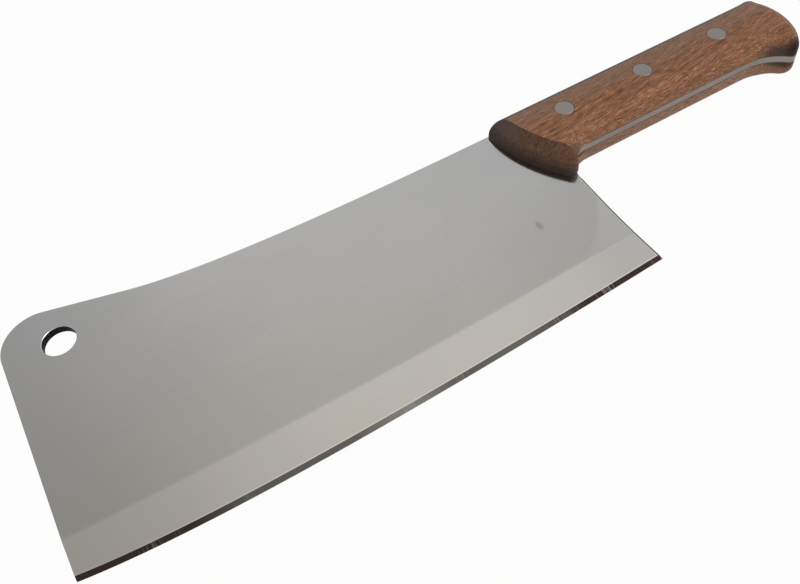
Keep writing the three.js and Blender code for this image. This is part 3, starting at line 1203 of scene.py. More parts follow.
@dataclass(frozen=True)
class Blade:
    """One plate of steel that is blade and full tang."""

    handle: HandleOutline
    rivets: RivetRow
    edge_drop: float = 0.5
    belly_depth: float = 4.29
    belly_reach: float = 55.0
    heel_foot: float = 0.8
    heel_bow: float = 0.75
    spine_drop: float = 0.45
    sweep_start: float = 20.0
    sweep_corner: float = 83.0
    sweep_end: float = 48.0
    sweep_pull: float = 0.7
    ramp_angle: float = 15.5
    nose_ahead: float = 0.26
    nose_lean: float = 0.93
    nose_radius: float = 15.0
    nose_trim: float = 0.05
    nose_tip_radius: float = 0.5
    nose_tip_rise: float = 0.35
    thickness: float = 3.5
    bevel_width: float = 14.6
    bevel_sag: float = 2.6
    fan_start: float = 192.0
    fan_rise: float = 22.0
    grind_width: float = 2.0
    grind_thickness: float = 1.2
    hole_radius: float = 6.5
    hole_from_nose: float = 21.0
    hole_from_ramp: float = 15.8
    softened: float = 0.25
    hole_rim: float = 0.15
    shoulder_line: float = 0.12
    flat_tilt: float = 1.0
    bevel_tilt: float = 10.0
    grind_tilt: float = 30.0
    crease: float = 35.0
    margin: float = 20.0
    edge_steps: int = 60
    heel_steps: int = 16
    sweep_steps: int = 40

    def plan(self) -> Plan:
        """Find the plan's origin from the middles of the first CAD rivet and of the CAD blade.

        Returns:
            The plan.
        """
        post = sum(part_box("rivet_post_1"), Vector()) / 2
        plate = sum(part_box("blade"), Vector()) / 2
        first = self.rivets.centres[0] * MM
        return Plan(Vector((post.x - first.x, post.y - first.y, plate.z)))

    def ramp_y(self, x: float) -> float:
        """Return the height of the straight ramp behind the nose."""
        return self.handle.back_y + (self.sweep_corner - x) * math.tan(math.radians(self.ramp_angle))

    def inside_nose(self, from_nose: float, from_ramp: float) -> Vector:
        """Find a point by its distances inside the nose's line and the ramp's.

        Args:
            from_nose: Distance from the nose's line.
            from_ramp: Distance from the ramp's line.

        Returns:
            The point in plan.
        """
        lean = math.tan(math.radians(self.nose_lean))
        slope = math.tan(math.radians(self.ramp_angle))
        ramp = self.ramp_y(0) - from_ramp / math.cos(math.radians(self.ramp_angle))
        nose = from_nose / math.cos(math.radians(self.nose_lean)) - self.nose_ahead
        y = (ramp - slope * nose) / (1 - slope * lean)
        return Vector((nose - y * lean, y))

    @property
    def hole(self) -> Vector:
        """Centre of the hang hole."""
        return self.inside_nose(self.hole_from_nose, self.hole_from_ramp)

    @property
    def heel_handles(self) -> tuple[Vector, Vector, Vector]:
        """Find the handles of the curve along the heel's shallow hollow.

        Returns:
            Its foot, the handle halfway up and its top.
        """
        handle = self.handle
        foot = Vector((handle.heel_x + self.heel_foot, -self.edge_drop))
        top = Vector((handle.heel_at(handle.heel.y), handle.heel.y))
        return foot, (foot + top) / 2 - Vector((2 * self.heel_bow, 0)), top

    def outline(self) -> list[Vector]:
        """Trace the steel. Below the edge it runs on, because the bevelled slab cuts the edge out.

        Returns:
            The closed outline, counter-clockwise.
        """
        handle = self.handle
        low = -(self.belly_depth + self.margin)
        lean = math.radians(self.nose_lean)
        nose = self.inside_nose(self.nose_radius, self.nose_radius)
        round_off = self.nose_radius - self.nose_trim
        tip = Vector((self.nose_tip_radius - self.nose_ahead, self.nose_tip_rise))
        start = Vector((handle.heel_x - self.sweep_start, handle.back_y - self.spine_drop))
        corner = Vector((self.sweep_corner, handle.back_y))
        end = Vector((self.sweep_end, self.ramp_y(self.sweep_end)))
        rise = [start, start.lerp(corner, self.sweep_pull), end.lerp(corner, self.sweep_pull), end]
        return [
            Vector((tip.x + self.nose_tip_radius, low)),
            Vector((self.heel_handles[0].x, low)),
            *curve(self.heel_handles, self.heel_steps),
            *arc(handle.heel, handle.heel_fillet, math.pi - math.radians(handle.heel_lean), math.pi / 2),
            *handle.grip(),
            *curve(rise, self.sweep_steps),
            *arc(nose, round_off, math.pi / 2 - math.radians(self.ramp_angle), math.pi + lean),
            *arc(tip, self.nose_tip_radius, math.pi + lean, math.pi * 1.5),
        ]

    def shoulder(self, x: float) -> float:
        """Find the top of the bevel, which sags along the edge and fans out at the heel.

        Args:
            x: Place along the plan.

        Returns:
            The height of the shoulder in plan.
        """
        share = min(max(x / self.handle.heel_x, 0.0), 1.0)
        fan = min(max((x - self.fan_start) / (self.handle.heel_x - self.fan_start), 0.0), 1.0)
        return self.bevel_width - 4 * self.bevel_sag * share * (1 - share) + self.fan_rise * fan**2

    def slab(self, plan: Plan) -> bpy.types.Object:
        """Make a slab with the blade's section: flats, main bevels and the sharpened strip.

        Args:
            plan: Where the plan lies.

        Returns:
            A closed body that reaches past the blade on the other sides.
        """
        length = self.handle.heel_x
        belly = Vector((self.belly_reach, -2 * self.belly_depth))
        edge = curve([Vector((0, 0)), belly, Vector((length, -self.edge_drop))], self.edge_steps)
        past = Vector((self.handle.butt_x + self.margin, -self.edge_drop))
        stations = [Vector((-self.margin, 0)), *edge, past]
        top = self.ramp_y(0) + self.margin
        half = self.thickness / 2
        thin = self.grind_thickness / 2
        rings = []
        for x, y in stations:
            side = [(y + self.grind_width, thin), (self.shoulder(x), half), (top, half)]
            section = [(y, 0.0), *[(v, -z) for v, z in side], *side[::-1]]
            rings.append([plan.place(x, v, z) for v, z in section])
        return loft("slab", rings)

    def zone(self, face: bmesh.types.BMFace, plan: Plan) -> Zone:
        """Tell which finish a face of the bare plate has.

        Args:
            face: The face.
            plan: Where the plan lies.

        Returns:
            Its zone.
        """
        tilt = math.degrees(math.acos(min(1.0, abs(face.normal.z))))
        steeper = {Zone.FLAT: self.flat_tilt, Zone.BEVEL: self.bevel_tilt, Zone.GRIND: self.grind_tilt}
        for zone, most in steeper.items():
            if tilt < most:
                return zone
        away = plan.read(face.calc_center_median()).to_2d() - self.hole
        return Zone.HOLE_BORE if away.length < self.hole_radius + SAME_POINT else Zone.CUT_EDGE

    def build(self, plan: Plan) -> bpy.types.Object:
        """Model the plate, with its edges softened as polishing leaves them.

        Args:
            plan: Where the plan lies.

        Returns:
            The plate, with a material slot number on each face.
        """
        outline = self.outline()
        ends = (-self.margin, self.margin)
        piece = loft("polished_blade", [plan.ring(outline, z) for z in ends])
        carve(piece, self.slab(plan), Cut.KEEP)
        bore = self.rivets.sleeve_radius + self.rivets.clearance
        holes = [(self.hole, self.hole_radius), *[(centre, bore) for centre in self.rivets.centres]]
        for centre, radius in holes:
            drill = loft("drill", [plan.circle(centre, radius, z) for z in ends])
            carve(piece, drill, Cut.REMOVE)
        work = bmesh.new()
        work.from_mesh(piece.data)
        for face in work.faces:
            face.material_index = self.zone(face, plan).value
        # The softened outline edges get the dark line, which is painted shade.
        self.soften(work, {Zone.FLAT, Zone.BEVEL}, Zone.CUT_EDGE, self.softened, Zone.DARK_LINE)
        # The hole's rim and the grind's shoulder get the bright line, which carries a painted highlight.
        self.soften(work, {Zone.FLAT}, Zone.HOLE_BORE, self.hole_rim, Zone.BRIGHT_LINE)
        self.soften(work, {Zone.BEVEL}, Zone.GRIND, self.shoulder_line, Zone.BRIGHT_LINE)
        work.to_mesh(piece.data)
        work.free()
        shade(piece, self.crease)
        return piece

    def soften(
        self, work: bmesh.types.BMesh, faces: set[Zone], other: Zone, width: float, finish: Zone
    ) -> None:
        """Break the edges between zones.

        Args:
            work: The plate being made.
            faces: Zones on one side of the edges.
            other: Zone on their other side.
            width: How far the break reaches.
            finish: Zone of the new faces.
        """
        pairs = [{zone.value, other.value} for zone in faces]
        edges = [e for e in work.edges if {f.material_index for f in e.link_faces} in pairs]
        bmesh.ops.bevel(
            work,
            geom=edges,
            offset=width * MM,
            segments=1,
            affect="EDGES",
            clamp_overlap=True,
            material=finish.value,
        )

    def dress(self, piece: bpy.types.Object, finishes: dict[Zone, Finish]) -> None:
        """Give each zone its material and hand the piece to the frame.

        Args:
            piece: The plate.
            finishes: Its finishes by zone.
        """
        for zone in Zone:
            piece.data.materials.append(finishes[zone].material())
        attach(piece, "blade_steel", "blade")


@dataclass(frozen=True, kw_only=True)
class BladeSide(Finish):
    """Sides of the blade: polished flats that pass softly into satin bevels, with painted reflection,
    highlight and shade, and one faint smudge.
    """

    name: str = "blade_side"
    blade: Blade
    origin: Triple
    smudge: OvalMark
    polished: Colour = grey(0.575)
    dulled: Colour = grey(0.55)
    # The bevel's satin roughness is its own; its lighter colour than the polished flat is painted
    # reflection.
    satin: Colour = grey(0.78)
    satin_dulled: Colour = grey(0.74)
    nose_shade_tint: Colour = grey(0.9)
    nose_shade_span: tuple[float, float] = (10.0, 110.0)
    polished_lines: Triple = (70, 0.5, 0.5)
    satin_lines: Triple = (40, 0.4, 0.4)
    line_depth: float = 0.0006
    roughness: float = 0.12
    satin_rougher: float = 0.08
    worn_rougher: float = 0.07
    soft_shoulder: float = 0.7
    soft_fan: float = 1.8
    fan_share: float = 0.38
    fade: tuple[float, float] = (185.0, 215.0)
    fade_to: float = 0.65
    # Painted shade: a dark line along the heel edge.
    heel_edge_shade: Colour = srgb(84, 79, 74)
    hairline_light: Colour = grey(0.7)
    hairline_width: float = 0.45
    hairline_blur: float = 0.1
    hairline_top: float = 47.5
    hairline_fade: float = 1.0
    # Painted highlight along the top of the sharpened strip.
    shoulder_highlight: Colour = grey(0.98)
    shoulder_highlight_width: float = 0.42
    shoulder_highlight_blur: float = 0.2
    shoulder_highlight_grows: tuple[float, float] = (0.0, 80.0)
    shoulder_highlight_least: float = 0.3

    def looks(self, graph: Graph, coordinates: Socket) -> dict[str, Any]:
        """Blend the polished and the satin finish over the shoulder, and paint a highlight line along the
        edge and a shade line along the heel.

        Args:
            graph: The material's graph.
            coordinates: Object coordinates.

        Returns:
            Values or sockets by the name of the shader's input.
        """
        parts = graph.add("ShaderNodeSeparateXYZ", {0: coordinates}).outputs
        x = graph.math("DIVIDE", graph.math("SUBTRACT", parts["X"], self.origin[0]), MM)
        y = graph.math("DIVIDE", graph.math("SUBTRACT", parts["Y"], self.origin[1]), MM)
        ground = self.ground(graph, x, y)
        fine = graph.group(fine_lines(), Vector=coordinates, Cells=per_metre(self.polished_lines))["Lines"]
        coarse = graph.group(fine_lines(), Vector=coordinates, Cells=per_metre(self.satin_lines))["Lines"]
        smear = graph.group(handling_marks(), Vector=coordinates, Cells=per_metre(SMEAR_CELL))["Smear"]
        lines = graph.math("MULTIPLY_ADD", graph.math("SUBTRACT", coarse, fine), ground, fine)
        worn = wear(graph, lines, smear)
        flat = graph.mix(worn, self.polished, self.dulled)
        bevel = graph.mix(worn, self.satin, self.satin_dulled)
        # Painted shade: the bevel darker towards the nose.
        bevel = graph.mix(graph.span(x, *self.nose_shade_span, 1.0, 0.0), bevel, self.nose_shade_tint, Blend.TINT)
        colour = self.lined(graph, x, y, self.shoulder_highlighted(graph, x, y, graph.mix(ground, flat, bevel)))
        rough = graph.math("MULTIPLY_ADD", ground, self.satin_rougher, self.roughness)
        return {
            "Base Color": self.smudge.over(graph, coordinates, colour),
            "Metallic": 1.0,
            "Roughness": graph.math("MULTIPLY_ADD", worn, self.worn_rougher, rough),
            "Normal": graph.bump(lines, self.line_depth),
        }

    def ground(self, graph: Graph, x: Socket, y: Socket) -> Socket:
        """Work out the share of satin finish, which fades towards the heel and fans out weakly there.

        Args:
            graph: The material's graph.
            x: Place along the plan.
            y: Place across it.

        Returns:
            One on the bevel and none on the flat.
        """
        blade = self.blade
        share = graph.math("DIVIDE", x, blade.handle.heel_x)
        sag = graph.math("MULTIPLY", share, graph.math("SUBTRACT", 1.0, share))
        past = graph.math("MAXIMUM", graph.math("SUBTRACT", x, blade.fan_start), 0.0)
        fan = graph.math("POWER", graph.math("DIVIDE", past, blade.handle.heel_x - blade.fan_start), 2.0)
        height = graph.math("SUBTRACT", y, blade.bevel_width)
        height = graph.math("MULTIPLY_ADD", sag, 4 * blade.bevel_sag, height)
        above = graph.math("MULTIPLY_ADD", fan, -blade.fan_rise, height)
        bevel = graph.span(height, -self.soft_shoulder, self.soft_shoulder, 1.0, 0.0)
        patch = graph.span(above, -self.soft_fan, self.soft_fan, self.fan_share, 0.0)
        faded = graph.math("MULTIPLY", bevel, graph.span(x, *self.fade, 1.0, self.fade_to))
        return graph.math("MAXIMUM", faded, patch)

    def shoulder_highlighted(self, graph: Graph, x: Socket, y: Socket, colour: Socket) -> Socket:
        """Draw a painted highlight, a thin bright line on the bevel along the sharpened strip.

        Args:
            graph: The material's graph.
            x: Place along the plan.
            y: Place across it.
            colour: The colour without the line.

        Returns:
            The colour with it.
        """
        blade = self.blade
        reach = blade.belly_reach
        rest = blade.handle.heel_x - 2 * reach
        root = graph.math("SQRT", graph.math("MULTIPLY_ADD", x, rest, reach**2))
        along = graph.math("DIVIDE", graph.math("SUBTRACT", root, reach), rest)
        deep = 4 * blade.belly_depth
        slope = graph.math("MULTIPLY_ADD", along, deep - blade.edge_drop, -deep)
        edge = graph.math("MULTIPLY", along, slope)
        above = graph.math("SUBTRACT", graph.math("SUBTRACT", y, edge), blade.grind_width)
        line = graph.span(above, (1 - self.shoulder_highlight_blur) * self.shoulder_highlight_width, self.shoulder_highlight_width, 1.0, 0.0)
        share = graph.math("MULTIPLY", line, graph.span(x, *self.shoulder_highlight_grows, self.shoulder_highlight_least, 1.0))
        return graph.mix(share, colour, self.shoulder_highlight)

    def lined(self, graph: Graph, x: Socket, y: Socket, colour: Socket) -> Socket:
        """Draw a painted shade as a dark line along the heel, with a thin light line inside it.

        Args:
            graph: The material's graph.
            x: Place along the plan.
            y: Place across it.
            colour: The colour without the lines.

        Returns:
            The colour with them.
        """
        foot, handle, top = self.blade.heel_handles
        up = graph.math("DIVIDE", graph.math("SUBTRACT", y, foot.y), top.y - foot.y)
        turned = graph.math("MULTIPLY_ADD", up, foot.x - 2 * handle.x + top.x, 2 * (handle.x - foot.x))
        past = graph.math("SUBTRACT", x, graph.math("MULTIPLY_ADD", turned, up, foot.x))
        below = graph.span(y, self.hairline_top - self.hairline_fade, self.hairline_top, 1.0, 0.0)
        width = self.hairline_width
        for reach, paint in ((2 * width, self.hairline_light), (width, self.heel_edge_shade)):
            line = graph.span(past, -(1 + self.hairline_blur) * reach, -(1 - self.hairline_blur) * reach)
            colour = graph.mix(graph.math("MULTIPLY", line, below), colour, paint)
        return colour


@dataclass(frozen=True)
class HandleScale:
    """A wooden scale: upright foot, rounded edges, flat face and a slanted front."""

    handle: HandleOutline
    rivets: RivetRow
    side: Side
    foot: float = 1.85
    thickness: float = 9.15
    crown_inset: float = 6.1
    crown_depth: float = 6.5
    crown_steps: int = 14
    foot_steps: int = 2
    corner_share: float = 0.88
    reach_growth: float = 0.5
    sharp_margin: float = 1.1
    slide_length: float = 1.4
    face_margin: float = 0.06
    front_wall: float = 3.2
    wall_least: float = 0.25
    wall_lead: float = 1.0
    wall_fade: float = 4.5
    back_crease: float = 6.6
    tip_crease: float = 7.9
    ridge_radius: float = 2.5
    ridge_steep: float = 72.0
    ridge_steps: int = 6
    tip_shade: tuple[float, float] = (224.0, 228.0)
    back_way: tuple[float, float] = (0.64, 0.77)
    front_over: float = 2.0
    front_past: float = 12.0
    front_steps: int = 40
    crease: float = 25.0

    @property
    def face(self) -> float:
        """Height of the flat face."""
        return self.foot + self.thickness

    def place(self, plan: Plan, p: Vector, z: float) -> Vector:
        """Return a plan point in metres, on this scale's side of the steel."""
        return plan.place(p.x, p.y, z * self.side.value)

    def reach(self, points: Sequence[Vector]) -> list[float]:
        """Work out how far the rounding reaches in from each point: less towards the round corners.

        Args:
            points: The outline.

        Returns:
            The reach at each point.
        """
        sharp = max(radius for _, radius in self.handle.sharp_corners)
        wanted = []
        for before, here, after in zip([points[-1], *points], points, [*points[1:], points[0]]):
            turn = max((after - here).angle_signed(here - before), SAME_POINT)
            radius = ((here - before).length + (after - here).length) / 2 / turn
            limit = self.corner_share * radius if radius > self.sharp_margin * sharp else self.crown_inset
            wanted.append(min(self.crown_inset, limit))
        return [
            min(w + self.reach_growth * (p - q).length for q, w in zip(points, wanted)) for p in points
        ]

    def moves(self, points: Sequence[Vector]) -> list[Vector]:
        """Work out how each point of the outline moves in between the foot and the face.

        Args:
            points: The outline.

        Returns:
            The moves: square to the outline, but at a sharp corner both sides slide along into a mitre.
        """
        chords = [b - a for a, b in zip([points[-1], *points], [*points[1:], points[0]])]
        inward = [Vector((-c.y, c.x)).normalized() for c in chords]
        moves = [n * r for n, r in zip(inward, self.reach(points))]
        for centre, radius in self.handle.sharp_corners:
            run = [k for k, p in enumerate(points) if (p - centre).length < radius + SAME_POINT]
            first, last = run[0], run[-1]
            square = [(centre - points[k]).normalized() for k in (first, last)]
            mitre = (square[0] + square[1]) * self.crown_inset / (1 + square[0].dot(square[1]))
            for k, p in enumerate(points):
                end = first if k < first else last
                slide = mitre - square[0 if k < first else 1] * self.crown_inset
                fade = 1 - (p - points[end]).length / (self.slide_length * slide.length)
                if first <= k <= last:
                    moves[k] = mitre
                elif fade > 0:
                    moves[k] += slide * fade
        return moves

    def block(self, plan: Plan) -> bpy.types.Object:
        """Model the scale before its front and its rivet holes are cut.

        Args:
            plan: Where the plan lies.

        Returns:
            A closed block.
        """
        points = self.handle.scale()
        moves = self.moves(points)

        def ring(share: float, z: float) -> list[Vector]:
            """Return the outline moved inwards by a share of its whole move, at one height."""
            return [self.place(plan, p + move * share, z) for p, move in zip(points, moves)]

        shoulder = self.face - self.crown_depth
        step = (shoulder - self.foot) / self.foot_steps
        rings = [ring(0.0, self.foot + step * k) for k in range(self.foot_steps)]
        for k in range(self.crown_steps + 1):
            angle = math.pi / 2 * k / self.crown_steps
            rings.append(ring(1 - math.cos(angle), shoulder + self.crown_depth * math.sin(angle)))
        rings.append(ring(1 + self.face_margin, self.face))
        return loft(f"{self.side.name.lower()}_wood", rings)

    def front_profile(self, angle: float) -> list[tuple[float, float]]:
        """Work out the front's section at an angle about the bow's centre.

        Args:
            angle: The angle, in radians.

        Returns:
            The closed section of what is cut off, as distances behind the bow and heights above mid
            steel: down the slant, over the rounded ridge, past the wall and up. Towards the back the wall
            fades out.
        """
        first, last = self.handle.front_angles
        share = (angle - first) / (last - first)
        crease = self.back_crease + (self.tip_crease - self.back_crease) * share
        in_front = max(0.0, math.degrees(angle - first) + self.wall_lead)
        wall = max(self.wall_least, self.front_wall * (1 - math.exp(-in_front / self.wall_fade)))
        rim = self.foot + wall
        slope = math.atan((self.face - rim) / crease)
        steep = math.radians(self.ridge_steep)
        radius = self.ridge_radius
        behind = radius * math.sin(steep)
        height = rim + behind * math.tan(slope) - radius / math.cos(slope)
        top = self.face + self.front_over
        points = [((top - rim) / math.tan(slope), top)]
        for k in range(self.ridge_steps + 1):
            tilt = slope + (steep - slope) * k / self.ridge_steps
            points.append((behind - radius * math.sin(tilt), height + radius * math.cos(tilt)))
        out = self.crown_inset
        return [*points, (-out, points[-1][1] - out * math.tan(steep)), (-out, top)]

    def front_tool(self, plan: Plan) -> bpy.types.Object:
        """Make the body that is cut off above the slanted front.

        Args:
            plan: Where the plan lies.

        Returns:
            A closed body.
        """
        handle = self.handle
        first, last = handle.front_angles
        past = math.radians(self.front_past)
        rings = []
        for k in range(self.front_steps + 1):
            angle = first - past + (last - first + 2 * past) * k / self.front_steps
            rings.append([
                self.place(plan, polar(handle.bow, handle.front_radius - behind, angle), z)
                for behind, z in self.front_profile(angle)
            ])
        return loft("front_tool", rings)

    def build(self, plan: Plan) -> bpy.types.Object:
        """Model the scale.

        Args:
            plan: Where the plan lies.

        Returns:
            The scale.
        """
        piece = self.block(plan)
        carve(piece, self.front_tool(plan), Cut.REMOVE)
        rivets = self.rivets
        seat = self.face - rivets.head_thickness - rivets.clearance
        narrow = rivets.sleeve_radius + rivets.clearance
        wide = rivets.head_radius + rivets.clearance
        steps = [(narrow, 0.0), (narrow, seat), (wide, seat), (wide, self.face + self.foot)]
        for centre in rivets.centres:
            rings = [plan.circle(centre, radius, z * self.side.value) for radius, z in steps]
            carve(piece, loft("drill", rings), Cut.REMOVE)
        shade(piece, self.crease)
        self.mark(piece.data, plan)
        return piece

    def mark(self, mesh: bpy.types.Mesh, plan: Plan) -> None:
        """Store for the wood where the mesh shows end grain, where its front tip takes painted shade, and
        where it turns to the back or the butt.

        Args:
            mesh: The scale's mesh. Its front tip is darkened all round like end grain, as painted shade,
                and its flare takes no end grain at all.
            plan: Where the plan lies.
        """
        turn = math.radians(GRAIN_TURN)
        grain = Vector((math.cos(turn), math.sin(turn), 0))
        back = Vector((*self.back_way, 0)).normalized()
        near, far = self.tip_shade
        marks: dict[str, list[float]] = {"end_grain_and_shade": [], "back_edge": []}
        for corner, loop in zip(mesh.corner_normals, mesh.loops):
            place = plan.read(mesh.vertices[loop.vertex_index].co)
            ahead = min(max((far - place.x) / (far - near), 0.0), 1.0)
            below = place.y < self.handle.grip_bottom
            # Painted shade: the front tip's walls darken like end grain.
            tip = ahead * (1 - abs(corner.vector.z)) if below else 0.0
            ends = corner.vector.dot(grain)
            front = place.x < self.handle.flare.x
            marks["end_grain_and_shade"].append(max(ends, tip, -ends if front else 0.0))
            # Stored for painted shade on the edges that turn to the back and the butt.
            marks["back_edge"].append(corner.vector.dot(back))
        for name, values in marks.items():
            mesh.attributes.new(name, "FLOAT", "CORNER").data.foreach_set("value", values)

    def dress(self, piece: bpy.types.Object, wood: bpy.types.Material) -> None:
        """Give the scale its wood and hand it to the frame."""
        piece.data.materials.append(wood)
        attach(piece, "handle_wood", f"{self.side.name.lower()}_scale")


@dataclass(frozen=True)
class Studio:
    """A pale floor, a soft dome of light and one large soft lamp."""

    floor_half: float = 6.0
    floor_drop: float = 0.0001
    floor_colour: Colour = grey(0.75)
    floor_glow: float = 0.96
    lamp_azimuth: float = 126.0
    lamp_elevation: float = 42.0
    lamp_distance: float = 1.3
    lamp_size: float = 0.9
    lamp_power: float = 6.5
    horizon: tuple[float, float] = (0.1, 0.45)
    overhead: Stops = (
        (0.0, grey(1.0)),
        (0.7, grey(0.78)),
        (0.84, (0.70, 0.672, 0.615, 1.0)),
        (1.0, (0.62, 0.588, 0.525, 1.0)),
    )
    sideways: Stops = (
        (0.0, grey(0.45)),
        (0.4, grey(0.62)),
        (0.45, grey(0.75)),
        (0.51, grey(0.92)),
        (0.54, grey(0.955)),
        (0.65, grey(0.96)),
        (0.71, grey(0.87)),
        (0.745, grey(0.8)),
        (0.8, grey(0.8)),
        (1.0, grey(1.0)),
    )

    def build(self) -> None:
        """Set up floor, dome and lamp."""
        bpy.context.scene.view_settings.view_transform = "Standard"
        self.floor()
        self.dome()
        self.lamp()
        log.info("studio: floor, dome and lamp")

    def floor(self) -> None:
        """Lay a white floor that shows the object's shadow, and is see-through from below."""
        mesh = bpy.data.meshes.new("floor")
        half = self.floor_half
        corners = [(-half, -half), (half, -half), (half, half), (-half, half)]
        mesh.from_pydata([(x, y, -self.floor_drop) for x, y in corners], [], [(0, 1, 2, 3)])
        floor = bpy.data.objects.new("floor", mesh)
        bpy.context.scene.collection.objects.link(floor)
        paint = bpy.data.materials.new("floor_paint")
        paint.use_nodes = True
        graph = Graph(paint.node_tree)
        matt = graph.add("ShaderNodeBsdfDiffuse", {"Color": self.floor_colour}).outputs[0]
        glow = graph.add("ShaderNodeEmission", {"Color": grey(1.0), "Strength": 1.0}).outputs[0]
        path = graph.add("ShaderNodeLightPath").outputs
        seen = graph.math("MAXIMUM", path["Is Camera Ray"], path["Is Glossy Ray"])
        seen = graph.math("MAXIMUM", seen, path["Is Transmission Ray"])
        share = graph.math("MULTIPLY", seen, self.floor_glow)
        lit = graph.add("ShaderNodeMixShader", {0: share, 1: matt, 2: glow}).outputs[0]
        below = graph.add("ShaderNodeNewGeometry").outputs["Backfacing"]
        clear = graph.add("ShaderNodeBsdfTransparent").outputs[0]
        whole = graph.add("ShaderNodeMixShader", {0: below, 1: lit, 2: clear}).outputs[0]
        graph.add("ShaderNodeOutputMaterial", {"Surface": whole})
        mesh.materials.append(paint)

    def dome(self) -> None:
        """Light the scene from a dome: white at the horizon, dimmer overhead and towards the nose."""
        world = bpy.data.worlds.new("dome")
        bpy.context.scene.world = world
        world.use_nodes = True
        graph = Graph(world.node_tree)
        direction = graph.add("ShaderNodeTexCoord").outputs["Generated"]
        parts = graph.add("ShaderNodeSeparateXYZ", {0: direction}).outputs
        height = graph.ramp(parts["Z"], self.overhead)
        across = graph.ramp(graph.math("MULTIPLY_ADD", parts["X"], 0.5, 0.5), self.sideways)
        shaded = graph.mix(1.0, height, across, Blend.TINT)
        raised = graph.span(parts["Z"], *self.horizon)
        colour = graph.mix(raised, grey(1.0), shaded)
        shell = graph.add("ShaderNodeBackground", {"Color": colour, "Strength": 1.0}).outputs[0]
        graph.add("ShaderNodeOutputWorld", {"Surface": shell})

    def lamp(self) -> None:
        """Hang a large soft lamp above the right of the camera."""
        data = bpy.data.lights.new("soft_lamp", "AREA")
        data.size = self.lamp_size
        data.energy = self.lamp_power
        lamp = bpy.data.objects.new("soft_lamp", data)
        bpy.context.scene.collection.objects.link(lamp)
        azimuth = math.radians(self.lamp_azimuth)
        elevation = math.radians(self.lamp_elevation)
        level = math.cos(elevation)
        up = Vector((math.sin(azimuth) * level, math.cos(azimuth) * level, math.sin(elevation)))
        lamp.location = up * self.lamp_distance
        lamp.rotation_mode = "QUATERNION"
        lamp.rotation_quaternion = up.to_track_quat("Z", "Y")


@dataclass(frozen=True)
class PhotoCamera:
    """The camera, where the photograph was taken from."""

    stand: Triple = (65.289, -131.981, 239.885)
    tilt: float = 37.314
    roll: float = 5.975
    heading: float = -29.705
    focal_pixels: float = 833.55
    image_width: float = 800.0
    sensor_width: float = 36.0
    nearest: float = 0.01

    def build(self, plan: Plan) -> None:
        """Set up the scene's camera.

        Args:
            plan: Where the plan lies.
        """
        data = bpy.data.cameras.new("camera")
        data.sensor_fit = "HORIZONTAL"
        data.sensor_width = self.sensor_width
        data.lens = self.sensor_width * self.focal_pixels / self.image_width
        data.clip_start = self.nearest
        camera = bpy.data.objects.new("camera", data)
        bpy.context.scene.collection.objects.link(camera)
        camera.location = plan.place(*self.stand)
        camera.rotation_euler = [math.radians(a) for a in (self.tilt, self.roll, self.heading)]
        bpy.context.scene.camera = camera


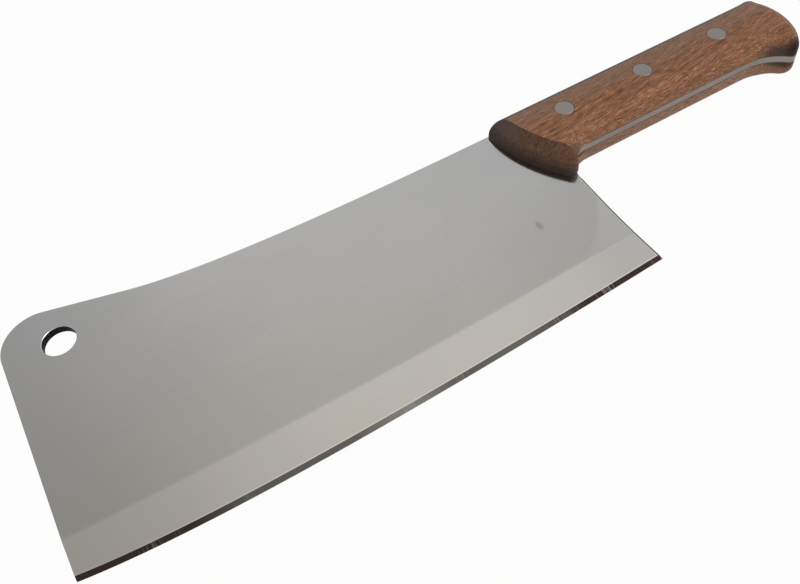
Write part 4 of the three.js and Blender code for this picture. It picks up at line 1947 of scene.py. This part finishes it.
def steel_finishes(blade: Blade, plan: Plan) -> dict[Zone, Finish]:
    """Choose the finish of each zone of the steel.

    Args:
        blade: The blade's sizes.
        plan: Where the plan lies.

    Returns:
        Finishes by zone.
    """
    smudge = OvalMark(
        centre=plan.place(193.3, 36.4).to_tuple(),
        reach=(1.7, 3.0, 20),
        colour=srgb(168, 160, 154),
        share=0.7,
    )
    # Painted reflection: the tang's side lighter at the flare, where it faces the bright floor.
    painted_flare_light = OvalMark(
        centre=plan.place(340, 56).to_tuple(),
        reach=(22, 12, 6),
        colour=srgb(140, 135, 129),
        share=0.9,
    )
    side = BladeSide(blade=blade, origin=plan.origin.to_tuple(), smudge=smudge)
    return {
        Zone.FLAT: side,
        Zone.BEVEL: side,
        Zone.GRIND: GroundEdge(start_x=plan.origin.x, length=blade.handle.heel_x),
        Zone.CUT_EDGE: CutEdge(
            name="cut_edge",
            colour=srgb(141, 133, 127),
            dulled=srgb(129, 122, 116),
            roughness=0.35,
            rougher=0.5,
            line_cell=(6, 6, 0.3),
            line_depth=0.01,
            mid_z=plan.origin.z,
            flare_light=painted_flare_light,
        ),
        Zone.HOLE_BORE: DarkBore(),
        # Painted highlight: the softened hole rim and shoulder lighter than the steel.
        Zone.BRIGHT_LINE: WorkedMetal(
            name="edge_highlight_line",
            colour=grey(0.8),
            dulled=grey(0.7),
            roughness=0.25,
            rougher=0.3,
            line_cell=(20, 20, 20),
            line_depth=0.0005,
        ),
        # Painted shade: the softened outline edges darker than the steel.
        Zone.DARK_LINE: WorkedMetal(
            name="dark_line",
            colour=srgb(84, 78, 72),
            dulled=srgb(70, 66, 62),
            roughness=0.4,
            rougher=0.5,
            line_cell=(20, 20, 20),
            line_depth=0.0005,
        ),
    }


def wood_finish(plan: Plan) -> Finish:
    """Choose the finish of the scales, with the dark marks at the butt, partly a dark patch in the wood and
    partly painted shade.

    Args:
        plan: Where the plan lies.

    Returns:
        The finish.
    """
    # Dark marks at the butt: partly a dark patch in the wood, partly painted shade where the surface turns
    # away.
    above_tang = OvalMark(
        centre=plan.place(331, 57, 2.5).to_tuple(),
        reach=(10.5, 7, 6.5),
        colour=srgb(62, 50, 48),
        share=0.85,
    )
    below_tang = OvalMark(
        centre=plan.place(335, 55, -1.6).to_tuple(),
        reach=(14, 8, 4.2),
        colour=srgb(62, 50, 48),
        share=0.85,
    )
    low_corner = OvalMark(
        centre=plan.place(338, 55, 5).to_tuple(),
        reach=(5.5, 5, 7),
        colour=srgb(24, 22, 24),
        share=0.95,
    )
    return OiledHardwood(
        mid_z=plan.origin.z,
        back_sheen_from=(plan.place(0, 70).y, plan.place(0, 84).y),
        stains_and_shade=(above_tang, below_tang, low_corner),
    )


def rivet_finish() -> Finish:
    """Choose the finish of the rivets.

    Returns:
        The finish.
    """
    return WorkedMetal(
        name="rivet_metal",
        colour=srgb(159, 154, 150),
        dulled=srgb(145, 140, 136),
        roughness=0.38,
        rougher=0.5,
        line_cell=(8, 0.25, 0.25),
        line_depth=0.004,
    )


def main() -> None:
    """Build every piece, dress it and set up the studio and the camera."""
    logging.basicConfig(level=logging.INFO, format="%(name)s: %(message)s")
    handle = HandleOutline()
    rivets = RivetRow(handle)
    blade = Blade(handle, rivets)
    plan = blade.plan()
    PhotoCamera().build(plan)
    Studio().build()
    blade.dress(blade.build(plan), steel_finishes(blade, plan))
    wood = wood_finish(plan).material()
    scales = [HandleScale(handle, rivets, side) for side in Side]
    for scale in scales:
        scale.dress(scale.build(plan), wood)
    rivets.dress(rivets.build(plan, scales[0].face, rivet_finish().material()))


if __name__ == "__main__":
    main()
